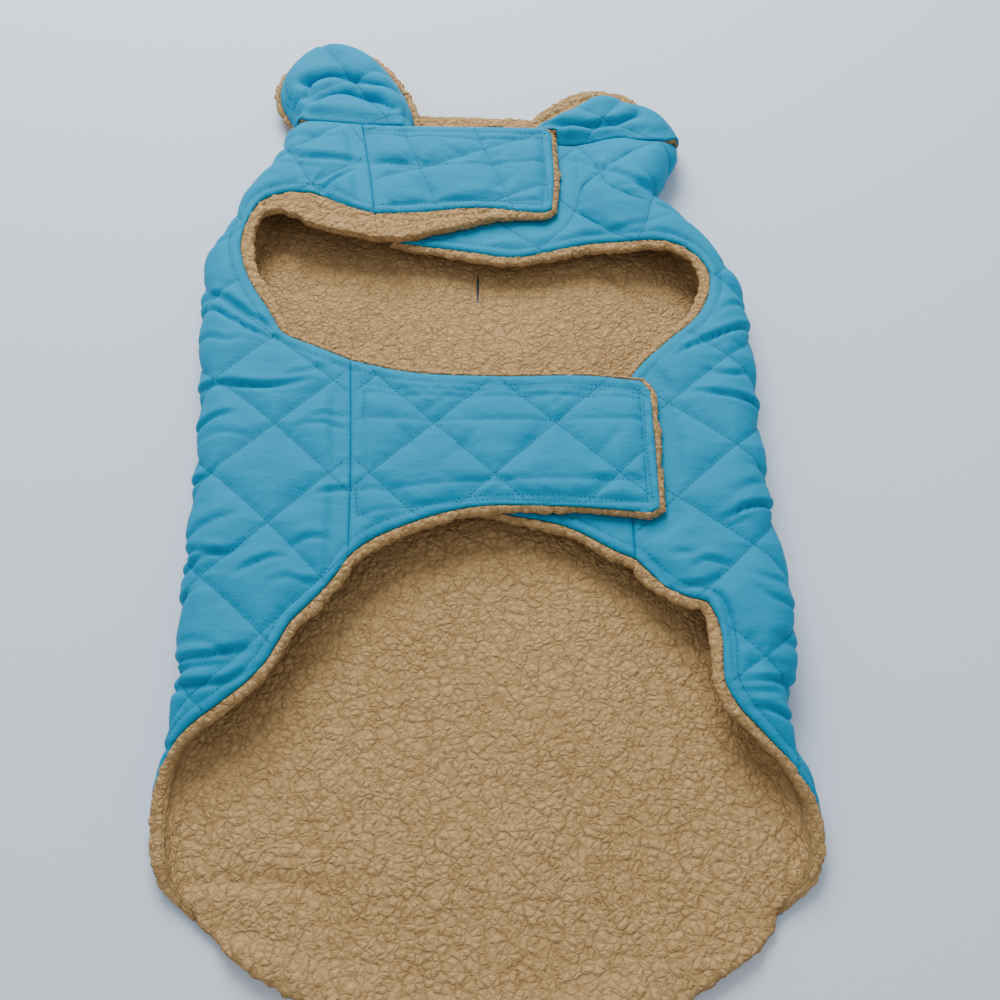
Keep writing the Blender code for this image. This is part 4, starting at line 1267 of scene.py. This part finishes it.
def shell_relief(piece, flat):
    """Rise of the shell's outside, and a mask of painted shade from 0 to 1 in sewn lines and creases."""
    depth = depth_in(flat, piece.outline)
    if not piece.quilt:
        return -0.8 * (1.0 - smooth(depth / 2.2)), np.zeros(len(flat))
    seen = piece.surface(flat)[:, :2] if piece.side else flat
    away, along = seam_grid(flat, piece.quilt)
    open_cloth = smooth((depth - 1.8) / 14.0)
    if piece.side:
        around = piece.side * flat[:, 0] - CREST
        open_cloth *= smooth((around / TURN_LENGTH - 0.28) / 0.3)
        for patch in COVERS:
            off = np.maximum(-depth_in(seen, patch), 0.0)
            open_cloth *= smooth((off - 10.0) / 9.0)
    elif piece.name == "belly_tab":
        off = np.maximum(-depth_in(seen, COVERS[0]), 0.0)
        open_cloth *= smooth((off - 10.0) / 9.0)
    rise = PUFF * (1.0 - (1.0 - np.clip(away / PUFF_WIDTH, 0, 1)) ** 2) * open_cloth
    rise -= 0.35 * hill(away / 1.2) * smooth(depth / 6.0)
    gather = soft_noise(along / [5.0, 1.0], 1.0, 11) * hill((away - 3.0) / 4.5)
    hem = free_edge_distance(piece, flat)
    hem_pull = soft_noise(flat, 5.0, 23) * hill((hem - HEM) / 4.0)
    drape = soft_noise(seen / [26.0, 8.0], 1.0, 5) * 0.5 + soft_noise(seen / [9.0, 3.6], 1.0, 6) * 0.16
    rise += 0.34 * gather + 0.30 * hem_pull + (0.25 + 0.75 * open_cloth) * drape * 0.8
    rise += 0.5 * hill((hem - 0.5 * HEM) / 2.2) - 0.6 * hill((hem - HEM) / 1.4)
    # sewn is a mask of painted shade: it darkens the quilting grooves, the hem's stitched line and the
    # straps' sewn rows, where the cloth is pressed and little light reaches.
    sewn = np.maximum(hill(away / 1.0), hill((hem - HEM) / 1.0))
    slant = np.stack([flat[:, 0] + 1.3 * flat[:, 1], flat[:, 1]], axis=1) / [6.0, 30.0]
    for line in piece.sewing:
        off, _ = near_line(flat, resample(line, 8.0))
        rise -= 1.1 * hill(off / 1.5) + 0.7 * hill(off / 6.0)
        rise += 0.45 * soft_noise(slant, 1.0, 31) * hill((off - 4.0) / 3.5)
        sewn = np.maximum(sewn, hill(off / 1.0))
    folded, deep = crease_relief(seen, piece.creases, fold=1.0)
    rise += folded
    # The painted shade of the crease troughs joins the painted shade of the sewn lines.
    sewn = np.maximum(sewn, deep)
    rise = np.where(rise < -0.9, -0.9 - 0.5 * np.tanh((-0.9 - rise) / 1.5), rise)
    if piece.side:
        resting = 1.0 - smooth((around / TURN_LENGTH - 0.05) / 0.15)
        rise = np.where(rise > 0, rise * (1.0 - resting), rise)
    rise -= 0.9 * (1.0 - smooth(depth / 2.0))
    return rise, sewn


def make_shell(piece):
    """The quilted shell of one piece, as a closed wall."""
    step = CLOTH_STEP if piece.quilt else 7.0
    outline = refined(piece.outline, 2.0)
    outer_flat, outer_faces = fill(outline, step, piece.quilt, piece.hole)
    inner_step = 5.0 if piece.name.startswith("collar") else 13.0
    inner_flat, inner_faces = fill(outline, inner_step, hole=piece.hole)
    rise, sewn = shell_relief(piece, outer_flat)
    loops = [len(outline)] + ([len(piece.hole)] if piece.hole is not None else [])
    under = np.full(len(inner_flat), -SHELL)
    made = make_wall(
        piece.name + "_quilted",
        piece,
        (outer_flat, outer_faces, rise),
        (inner_flat, inner_faces, under),
        loops,
        [(0.5, lambda rim, share: np.full(len(rim), 0.12))],
        # The sewn attribute carries painted shade for the sewn lines and creases.
        {"sewn": (sewn, np.zeros(len(inner_flat)))},
    )
    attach(made, "root")
    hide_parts(piece.name + "_shell")
    declare_sheet(piece, outline)
    return made


def declare_sheet(piece, outline):
    """Work out the flat area a piece was cut to and the list of what it lies on; neither is kept."""
    area = abs(area_of(outline)) * MM * MM
    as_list(piece.rests_on)


# %% [markdown]
# ## The sherpa lining
#
# Sherpa is a knitted cloth with a deep curly pile.  The lining shows past the
# shell along every free edge as a thick soft roll, so its net is fine there
# and wherever one looks into the coat.  Each clump of curls is real relief,
# because from the side flat cloth with a pattern would give itself away.

# %% Sherpa lining


def pile_shows(piece):
    """Where the pile of a piece is seen, as a test on flat points and depth."""

    def seen_inside(flat, depth):
        x, y = flat[:, 0], flat[:, 1]
        if piece.name == "back":
            opening = (np.abs(x) < 166) & (y > 12) & (y < 192)
            return (y < -62) | opening | (free_edge_distance(piece, flat) < 17.0)
        if piece.side:
            around = piece.side * x - CREST
            turning = (around < 56) & (((y > 62) & (y < 212)) | (y < -206))
            return turning | (free_edge_distance(piece, flat) < 17.0)
        return free_edge_distance(piece, flat) < 17.0

    return seen_inside


def stepped_out(outline, away, least):
    """Points a little way out from an outline where its rim is wide enough."""
    points = (outline[:, :2] + away * outward(outline))[outline[:, 2] > least]
    return points


def pocket(piece, flat):
    """How far the loose lining bulges in from the form inside the folds."""
    if not piece.side:
        return np.zeros(len(flat))
    around, y = piece.side * flat[:, 0] - CREST, flat[:, 1]
    turned = np.sin(np.pi * np.clip(around / TURN_LENGTH, 0.0, 1.0))
    lip = 3.4 * smooth((-214.0 - y) / 25.0) * smooth((y + 331.0) / 14.0)
    if piece.side < 0:
        deep = 7.0 * smooth((y - 98.0) / 30.0) * smooth((216.0 - y) / 24.0)
    else:
        deep = 4.5 * smooth((y - 84.0) / 26.0) * smooth((170.0 - y) / 22.0)
    return (lip + deep) * turned


def make_lining(piece):
    """The sherpa lining of one piece, with a soft roll along its free edges."""
    cut = refined(piece.outline, PILE_STEP)
    wide = refined(widened(piece.outline), PILE_STEP)
    over = smooth(wide[:, 2] / 2.0) * smooth(free_end_distance(piece, wide[:, :2]) / 9.0)
    wave = soft_noise(wide[:, :2], 4.6, 61) * 1.1 + soft_noise(wide[:, :2], 12.0, 62) * 1.0
    wide[:, :2] += outward(wide) * (wave * over + 0.3 * (1.0 - smooth(wide[:, 2] / 2.0)))[:, None]
    over = smooth(wide[:, 2] / 2.0)
    rows = np.concatenate([stepped_out(cut, 0.35, 1.5), stepped_out(cut, 1.2, 2.6)])

    def past_shell(flat, depth):
        return depth_in(flat, piece.outline) < 2.5

    top_step = 5.0 if piece.name.startswith("collar") else 13.0
    top_flat, top_faces = fill(
        wide, top_step, hole=piece.hole, fine=past_shell, fine_step=PILE_STEP, rows=rows
    )
    seen = pile_shows(piece)
    open_field = piece.name == "back" or piece.side != 0
    low_flat, low_faces = fill(
        wide, 7.0, hole=piece.hole, fine=seen, fine_step=LUMP_STEP if open_field else PILE_STEP
    )
    out = np.maximum(-depth_in(top_flat, piece.outline), 0.0)
    to_rim = near_line(top_flat, wide, closed=True)[0]
    rim = np.clip(to_rim / 3.2, 0.0, 1.0)
    free_rim = smooth(1.0 - free_edge_distance(piece, top_flat) / 30.0)
    round_off = (1.0 - np.sqrt(1.0 - (1.0 - rim) ** 2)) * free_rim
    wide_roll = smooth((out - 4.0) / 7.0)
    top_pile = nubs(top_flat, 9)
    rise = (2.9 + 0.9 * wide_roll) * smooth((out - 0.15) / 1.1) - 2.0 * round_off
    rise -= 1.9 * (1.0 - top_pile) * smooth(out / 1.6)
    band = out + to_rim
    rise -= 1.6 * hill((out - 0.42 * band) / 1.5) * smooth((band - 9.0) / 5.0)
    top_offset = -SHELL - SEAM_GAP + rise
    low_edge = np.clip(depth_in(low_flat, wide) / 3.5, 0.0, 1.0)
    low_free = smooth(1.0 - free_edge_distance(piece, low_flat) / 14.0)
    low_round = (1.0 - np.sqrt(1.0 - (1.0 - low_edge) ** 2)) * low_free
    low_pile = pile(low_flat)
    low_offset = -SHELL - SEAM_GAP - LINING + 1.5 * (1.0 - low_pile) + 1.4 * low_round
    if open_field:
        swell = soft_noise(low_flat, 58.0, 91) + 0.7 * soft_noise(low_flat, 26.0, 92)
        sewn = smooth(depth_in(low_flat, wide) / 24.0)
        low_offset -= (1.1 * swell + 0.4) * sewn
    if piece.name == "back":
        low_offset -= crease_relief(low_flat, TAIL_CREASES)[0]
    low_offset -= pocket(piece, low_flat)
    loops = [len(wide)] + ([len(piece.hole)] if piece.hole is not None else [])
    overs = np.concatenate([over] + ([np.zeros(len(piece.hole))] if len(loops) > 1 else []))

    def roll(rim, share):
        curl = nubs(rim + 9.0 * share, 29)
        return overs * (1.6 * math.sin(math.pi * share) ** 0.7 - 1.5 * (1.0 - curl)) + 0.02

    made = make_wall(
        piece.name + "_sherpa",
        piece,
        (top_flat, top_faces, top_offset),
        (low_flat, low_faces, low_offset),
        loops,
        [(0.25, roll), (0.5, roll), (0.75, roll)],
        {"pile": (top_pile, low_pile)},
    )
    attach(made, "root")
    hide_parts(piece.name + "_lining")
    declare_sheet(piece, wide)
    return made


# %% Make shells and linings
SHELLS = {piece.name: make_shell(piece) for piece in PIECES.values()}
LININGS = {piece.name: make_lining(piece) for piece in PIECES.values()}
made_objects = list(SHELLS.values()) + list(LININGS.values())
print("cloth in all:", sum(len(o.data.polygons) for o in made_objects), "triangles")

# %% [markdown]
# ## Stitches
#
# One stitch is modelled first: a short cylinder of thread whose ends are
# drawn in, so that it dips into the cloth.  Copies of it are then set along
# every quilting seam, hem and sewn line, turned to the line and to the cloth.

# %% One stitch
STITCH_LENGTH = 2.5
THREAD_RADIUS = 0.24


def model_stitch():
    """Points and faces of one stitch that lies along X."""
    bpy.ops.object.select_all(action="DESELECT")
    bpy.ops.mesh.primitive_cylinder_add(
        vertices=5, radius=THREAD_RADIUS, depth=STITCH_LENGTH, rotation=(0.0, math.pi / 2, 0.0)
    )
    stitch = bpy.context.object
    bpy.ops.object.transform_apply(location=False, rotation=True, scale=True)
    bpy.ops.object.mode_set(mode="EDIT")
    bpy.ops.mesh.select_all(action="SELECT")
    bpy.ops.mesh.bisect(plane_co=(0, 0, 0), plane_no=(1, 0, 0))
    bpy.ops.object.mode_set(mode="OBJECT")
    points = np.array([tuple(v.co) for v in stitch.data.vertices])
    drawn_in = np.abs(points[:, 0]) / (STITCH_LENGTH / 2)
    points[:, 1:] *= (1.0 - 0.45 * drawn_in)[:, None]
    points[:, 2] -= 0.22 * drawn_in
    faces = []
    for polygon in stitch.data.polygons:
        ring = list(polygon.vertices)
        faces += [(ring[0], ring[k], ring[k + 1]) for k in range(1, len(ring) - 1)]
    bpy.data.objects.remove(stitch, do_unlink=True)
    return points, np.array(faces)


STITCH_POINTS, STITCH_FACES = model_stitch()
print("one stitch has", len(STITCH_FACES), "triangles")

# %% Set the stitches


def quilting_lines(piece):
    """Runs of stitch places along the quilting seams within a piece."""
    origin, steps, inverse = quilt_axes(piece.quilt)
    reach = (piece.outline[:, :2] - origin) @ inverse.T
    low, high = np.floor(reach.min(axis=0)), np.ceil(reach.max(axis=0))
    for k in (0, 1):
        length = np.linalg.norm(steps[:, 1 - k])
        along = np.arange(low[1 - k], high[1 - k], STITCH / length)
        for number in np.arange(low[k], high[k] + 1):
            grid = np.zeros((len(along), 2))
            grid[:, k] = number
            grid[:, 1 - k] = along
            yield origin + grid @ steps.T


def hem_lines(piece):
    """Runs of stitch places a hem's width in from each free edge."""
    for line in piece.free:
        fine = resample(line, STITCH)
        run_along = np.gradient(fine, axis=0)
        normal = np.stack([-run_along[:, 1], run_along[:, 0]], axis=1)
        normal /= np.linalg.norm(normal, axis=1)[:, None]
        for sign in (-1.0, 1.0):
            moved = fine + sign * HEM * normal
            if np.mean(inside(moved, piece.outline)) > 0.5:
                yield moved


def stitch_places(piece):
    """Middle, direction and cloth normal of every stitch on a piece."""
    places = []
    lines = list(quilting_lines(piece)) + list(hem_lines(piece)) + piece.sewing
    for number, line in enumerate(lines):
        line = line[:, :2]
        depth = depth_in(line, piece.outline)
        keep = depth > (3.0 if number < len(lines) - len(piece.sewing) else 0.8)
        if piece.side or piece.name == "belly_tab":
            seen = piece.surface(line)[:, :2] if piece.side else line
            for patch in COVERS:
                keep &= depth_in(seen, patch) < 1.0
        for middle, ahead, good, next_good in zip(line, line[1:], keep, keep[1:]):
            if good and next_good:
                places.append((middle, ahead))
    pairs = np.array(places)
    centre, ahead = pairs[:, 0], pairs[:, 1]
    rise, _ = shell_relief(piece, centre)
    normal = facing(piece.surface, centre, piece.up)
    point = piece.surface(centre) + normal * (rise + 0.16)[:, None]
    along = piece.surface(ahead) - piece.surface(centre)
    along -= normal * np.sum(along * normal, axis=1)[:, None]
    along /= np.linalg.norm(along, axis=1)[:, None]
    return point, along, normal


def sew_stitches():
    """All stitches of the coat, joined into one mesh."""
    points, along, normal = (
        np.concatenate(parts)
        for parts in zip(*(stitch_places(piece) for piece in PIECES.values() if piece.quilt))
    )
    across = np.cross(normal, along)
    turned = (
        along[:, None] * STITCH_POINTS[None, :, :1]
        + across[:, None] * STITCH_POINTS[None, :, 1:2]
        + normal[:, None] * STITCH_POINTS[None, :, 2:]
    )
    vertices = (points[:, None] + turned).reshape(-1, 3)
    vertices[:, :2] -= CENTRE
    count = len(STITCH_POINTS)
    faces = (np.arange(len(points))[:, None, None] * count + STITCH_FACES[None]).reshape(-1, 3)
    mesh = bpy.data.meshes.new("sewing_thread")
    mesh.from_pydata((vertices * MM).tolist(), [], faces.tolist())
    mesh.shade_smooth()
    made = bpy.data.objects.new("sewing_thread", mesh)
    bpy.context.scene.collection.objects.link(made)
    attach(made, "root")
    print(len(points), "stitches,", len(faces), "triangles")
    return made


THREAD = sew_stitches()

# %% [markdown]
# ## Materials: shared node groups
#
# Effects that several materials share are node groups, built once.  The
# first is the weave of the shell, the second its fine crinkle, the third the
# small curls in the pile, and the last a faint unevenness of tone with lint.

# %% Helpers for node groups


def new_group(name, inputs, outputs):
    """An empty node group with named number sockets and a cloth vector."""
    group = bpy.data.node_groups.new(name, "ShaderNodeTree")
    group.interface.new_socket("Cloth", in_out="INPUT", socket_type="NodeSocketVector")
    for socket, value in inputs.items():
        made = group.interface.new_socket(socket, in_out="INPUT", socket_type="NodeSocketFloat")
        made.default_value = value
    for socket in outputs:
        group.interface.new_socket(socket, in_out="OUTPUT", socket_type="NodeSocketFloat")
    return group, group.nodes.new("NodeGroupInput"), group.nodes.new("NodeGroupOutput")


def maths(tree, operation, *values, clamp=False):
    """A Math node whose inputs are numbers or sockets; returns its output."""
    node = tree.nodes.new("ShaderNodeMath")
    node.operation = operation
    node.use_clamp = clamp
    for socket, value in zip(node.inputs, values):
        if isinstance(value, (int, float)):
            socket.default_value = value
        else:
            tree.links.new(value, socket)
    return node.outputs[0]


def stretched(tree, vector, x, y):
    """The cloth vector, scaled apart in x and y."""
    node = tree.nodes.new("ShaderNodeVectorMath")
    node.operation = "MULTIPLY"
    node.inputs[1].default_value = (x, y, 1.0)
    tree.links.new(vector, node.inputs[0])
    return node.outputs[0]


def noise(tree, vector, scale, detail=2.0, roughness=0.5):
    """A Noise Texture's value, from about 0 to 1."""
    node = tree.nodes.new("ShaderNodeTexNoise")
    node.inputs["Scale"].default_value = scale
    node.inputs["Detail"].default_value = detail
    node.inputs["Roughness"].default_value = roughness
    tree.links.new(vector, node.inputs["Vector"])
    return node.outputs["Fac"]


def ramp(tree, value, low, high):
    """Map a value from low..high to 0..1."""
    node = tree.nodes.new("ShaderNodeMapRange")
    node.inputs["From Min"].default_value = low
    node.inputs["From Max"].default_value = high
    tree.links.new(value, node.inputs["Value"])
    return node.outputs["Result"]


# %% [markdown]
# The shell is a tight plain weave.  Its threads cross every half millimetre:
# two sine waves across each other, one raised where the other dips.

# %% Weave group
WEAVE, weave_in, weave_out = new_group("plain_weave", {"Threads per metre": 2000.0}, ["Height"])
split = WEAVE.nodes.new("ShaderNodeSeparateXYZ")
WEAVE.links.new(weave_in.outputs["Cloth"], split.inputs[0])
wave = []
for axis in ("X", "Y"):
    turns = maths(WEAVE, "MULTIPLY", split.outputs[axis], weave_in.outputs["Threads per metre"])
    wave.append(maths(WEAVE, "SINE", maths(WEAVE, "MULTIPLY", turns, math.pi)))
crossing = maths(WEAVE, "MULTIPLY", wave[0], wave[1])
WEAVE.links.new(maths(WEAVE, "MULTIPLY_ADD", crossing, 0.5, 0.5), weave_out.inputs["Height"])

# %% Crinkle group
CRINKLE, crinkle_in, crinkle_out = new_group("fine_crinkle", {}, ["Height"])
broad = noise(CRINKLE, stretched(CRINKLE, crinkle_in.outputs["Cloth"], 0.45, 1.0), 110.0, 3.0, 0.55)
narrow = noise(CRINKLE, stretched(CRINKLE, crinkle_in.outputs["Cloth"], 0.6, 1.0), 420.0, 2.0, 0.5)
height = maths(CRINKLE, "MULTIPLY_ADD", narrow, 0.3, maths(CRINKLE, "MULTIPLY", broad, 0.7))
CRINKLE.links.new(height, crinkle_out.inputs["Height"])

# %% [markdown]
# Lumps of the pile are already relief in the mesh.  The group adds what is
# smaller.  Curls gather in cobbles four or five millimetres wide, parted by
# thin crevices, with small curls on each cobble.  A broad noise stretches the
# cobbles this way and that, as the pile lies, and deeper crevices part whole
# groups of them, because real pile is never an even pattern of cells.

# %% Curl group
CURLS, curl_in, curl_out = new_group("sherpa_curls", {"Per metre": 215.0}, ["Height", "Crevice shade", "Shade"])


def bent(tree, vector, scale, reach):
    """The cloth vector, pushed about by a noise as far as reach."""
    bend = tree.nodes.new("ShaderNodeTexNoise")
    bend.inputs["Scale"].default_value = scale
    bend.inputs["Detail"].default_value = 2.0
    tree.links.new(vector, bend.inputs["Vector"])
    shift = tree.nodes.new("ShaderNodeVectorMath")
    shift.operation = "MULTIPLY_ADD"
    shift.inputs[1].default_value = (reach, reach, 0.0)
    tree.links.new(bend.outputs["Color"], shift.inputs[0])
    tree.links.new(vector, shift.inputs[2])
    return shift.outputs[0]


def cells(tree, vector, scale, feature):
    """A Voronoi Texture's node, for a cell's middle, edge or chance colour."""
    node = tree.nodes.new("ShaderNodeTexVoronoi")
    node.feature = feature
    tree.links.new(vector, node.inputs["Vector"])
    if isinstance(scale, float):
        node.inputs["Scale"].default_value = scale
    else:
        tree.links.new(scale, node.inputs["Scale"])
    return node


lie = bent(CURLS, curl_in.outputs["Cloth"], 62.0, 0.0060)
cobble_bend = bent(CURLS, lie, 380.0, 0.0017)
curl_bend = bent(CURLS, lie, 800.0, 0.0012)
per_metre = curl_in.outputs["Per metre"]
cobble_edge = cells(CURLS, cobble_bend, per_metre, "DISTANCE_TO_EDGE").outputs["Distance"]
chance = cells(CURLS, cobble_bend, per_metre, "F1").outputs["Color"]
group_edge = cells(CURLS, cobble_bend, 88.0, "DISTANCE_TO_EDGE").outputs["Distance"]
curl_edge = cells(CURLS, curl_bend, 520.0, "DISTANCE_TO_EDGE").outputs["Distance"]
cobble = maths(CURLS, "POWER", ramp(CURLS, cobble_edge, 0.0, 0.40), 0.8)
group = maths(CURLS, "POWER", ramp(CURLS, group_edge, 0.0, 0.26), 0.6)
curl = ramp(CURLS, curl_edge, 0.0, 0.3)
fibres = noise(CURLS, curl_bend, 1500.0, 2.0, 0.6)
height = maths(CURLS, "MULTIPLY_ADD", group, 0.75, cobble)
height = maths(CURLS, "MULTIPLY_ADD", curl, 0.22, height)
height = maths(CURLS, "MULTIPLY_ADD", fibres, 0.34, height)
CURLS.links.new(height, curl_out.inputs["Height"])
# The crevice output is painted shade: a mask that darkens the colour in the gaps between cobbles and
# between their groups.
open_gap = ramp(CURLS, noise(CURLS, curl_in.outputs["Cloth"], 150.0, 2.0, 0.6), 0.36, 0.62)
gap = maths(CURLS, "SUBTRACT", 1.0, ramp(CURLS, cobble_edge, 0.0, 0.18))
gap = maths(CURLS, "MULTIPLY", gap, maths(CURLS, "MULTIPLY_ADD", open_gap, 0.65, 0.35))
group_gap = maths(CURLS, "SUBTRACT", 1.0, ramp(CURLS, group_edge, 0.01, 0.085))
crevice = maths(CURLS, "MULTIPLY_ADD", group_gap, 0.55, maths(CURLS, "MULTIPLY", gap, 0.7), clamp=True)
CURLS.links.new(crevice, curl_out.inputs["Crevice shade"])
shade = CURLS.nodes.new("ShaderNodeSeparateColor")
CURLS.links.new(chance, shade.inputs[0])
CURLS.links.new(shade.outputs[0], curl_out.inputs["Shade"])

# %% Tone and lint group
TONE, tone_in, tone_out = new_group("tone_and_lint", {}, ["Tone", "Lint"])
wide_tone = noise(TONE, tone_in.outputs["Cloth"], 14.0, 3.0, 0.5)
TONE.links.new(ramp(TONE, wide_tone, 0.3, 0.7), tone_out.inputs["Tone"])
specks = TONE.nodes.new("ShaderNodeTexVoronoi")
specks.inputs["Scale"].default_value = 70.0
TONE.links.new(stretched(TONE, tone_in.outputs["Cloth"], 1.0, 0.5), specks.inputs["Vector"])
near_speck = maths(TONE, "LESS_THAN", specks.outputs["Distance"], 0.028)
rare = maths(TONE, "GREATER_THAN", noise(TONE, tone_in.outputs["Cloth"], 45.0, 1.0), 0.6)
TONE.links.new(maths(TONE, "MULTIPLY", near_speck, rare), tone_out.inputs["Lint"])
print("node groups:", [g.name for g in (WEAVE, CRINKLE, CURLS, TONE)])

# %% [markdown]
# ## Materials of the coat
#
# The shell is a smooth polyester with a low sheen.  Its colour is darkened a
# little with painted shade in the sewn lines and creases, where the cloth is
# pressed and the light is poor.

# %% Shell, sherpa and thread


def colour_mix(tree, factor, low, high):
    """Mix two colours, each a value or a socket, by a factor socket."""
    node = tree.nodes.new("ShaderNodeMix")
    node.data_type = "RGBA"
    for socket, value in ((node.inputs[6], low), (node.inputs[7], high)):
        if isinstance(value, tuple):
            socket.default_value = value
        else:
            tree.links.new(value, socket)
    tree.links.new(factor, node.inputs[0])
    return node.outputs[2]


def new_material(name, roughness, sheen, sheen_roughness, specular):
    """A Principled material, its cloth coordinates and a group placer."""
    made = bpy.data.materials.new(name)
    made.use_nodes = True
    tree = made.node_tree
    shader = tree.nodes["Principled BSDF"]
    shader.inputs["Roughness"].default_value = roughness
    shader.inputs["Sheen Weight"].default_value = sheen
    shader.inputs["Sheen Roughness"].default_value = sheen_roughness
    shader.inputs["Specular IOR Level"].default_value = specular
    uv = tree.nodes.new("ShaderNodeUVMap")
    uv.uv_map = "cloth"

    def place(group, **values):
        node = tree.nodes.new("ShaderNodeGroup")
        node.node_tree = group
        tree.links.new(uv.outputs["UV"], node.inputs["Cloth"])
        for socket, value in values.items():
            node.inputs[socket.replace("_", " ")].default_value = value
        return node

    return made, tree, shader, place


def attribute(tree, name):
    """The value of a mesh attribute."""
    node = tree.nodes.new("ShaderNodeAttribute")
    node.attribute_name = name
    return node.outputs["Fac"]


def bump(tree, height, distance, before=None, strength=1.0):
    """A Bump node in millimetres, on top of another one if given."""
    node = tree.nodes.new("ShaderNodeBump")
    node.inputs["Distance"].default_value = distance * MM
    node.inputs["Strength"].default_value = strength
    tree.links.new(height, node.inputs["Height"])
    if before:
        tree.links.new(before, node.inputs["Normal"])
    return node.outputs["Normal"]


SHELL_COLOUR = (0.000, 0.260, 0.456, 1.0)
SHELL_PALE = (0.000, 0.284, 0.490, 1.0)
SHELL_PAINTED_SHADE = (0.000, 0.147, 0.274, 1.0)
LINT_COLOUR = (0.30, 0.50, 0.60, 1.0)

shell_material, tree, shader, place = new_material("quilted_polyester", 0.60, 0.0, 0.45, 0.07)
tone = place(TONE)
colour = colour_mix(tree, tone.outputs["Tone"], SHELL_COLOUR, SHELL_PALE)
# Painted shade: the sewn mask darkens the colour in sewn lines and creases.
sewn = maths(tree, "MULTIPLY", attribute(tree, "sewn"), 0.35)
colour = colour_mix(tree, sewn, colour, SHELL_PAINTED_SHADE)
colour = colour_mix(tree, maths(tree, "MULTIPLY", tone.outputs["Lint"], 0.35), colour, LINT_COLOUR)
tree.links.new(colour, shader.inputs["Base Color"])
normal = bump(tree, place(CRINKLE).outputs["Height"], 0.9)
normal = bump(tree, place(WEAVE).outputs["Height"], 0.035, normal)
tree.links.new(normal, shader.inputs["Normal"])

PILE_TOP = (0.588, 0.372, 0.161, 1.0)
PILE_LOW_SHADE = (0.463, 0.280, 0.114, 1.0)
PILE_PALE = (0.673, 0.449, 0.211, 1.0)
PILE_DEEP = (0.494, 0.301, 0.126, 1.0)
PILE_CREVICE_SHADE = (0.200, 0.107, 0.038, 1.0)

sherpa_material, tree, shader, place = new_material("curly_sherpa", 0.95, 0.06, 0.6, 0.05)
curly = place(CURLS)
tone = place(TONE)
# Painted shade: the low places between lumps of pile are coloured darker than the tops.
height = ramp(tree, attribute(tree, "pile"), 0.05, 0.65)
colour = colour_mix(tree, height, PILE_LOW_SHADE, PILE_TOP)
colour = colour_mix(tree, maths(tree, "MULTIPLY", tone.outputs["Tone"], 0.35), colour, PILE_PALE)
colour = colour_mix(tree, maths(tree, "MULTIPLY", curly.outputs["Shade"], 0.35), colour, PILE_DEEP)
# Painted shade: the colour darkens in the crevices between cobbles.
crevice = maths(tree, "MULTIPLY", curly.outputs["Crevice shade"], 0.48)
colour = colour_mix(tree, crevice, colour, PILE_CREVICE_SHADE)
tree.links.new(colour, shader.inputs["Base Color"])
tree.links.new(bump(tree, curly.outputs["Height"], 1.25), shader.inputs["Normal"])

thread_material, tree, shader, place = new_material("polyester_thread", 0.6, 0.0, 0.4, 0.2)
shader.inputs["Base Color"].default_value = (0.001, 0.160, 0.270, 1.0)

for cloth, material in ((SHELLS, shell_material), (LININGS, sherpa_material)):
    for made in cloth.values():
        made.data.materials.append(material)
THREAD.data.materials.append(thread_material)
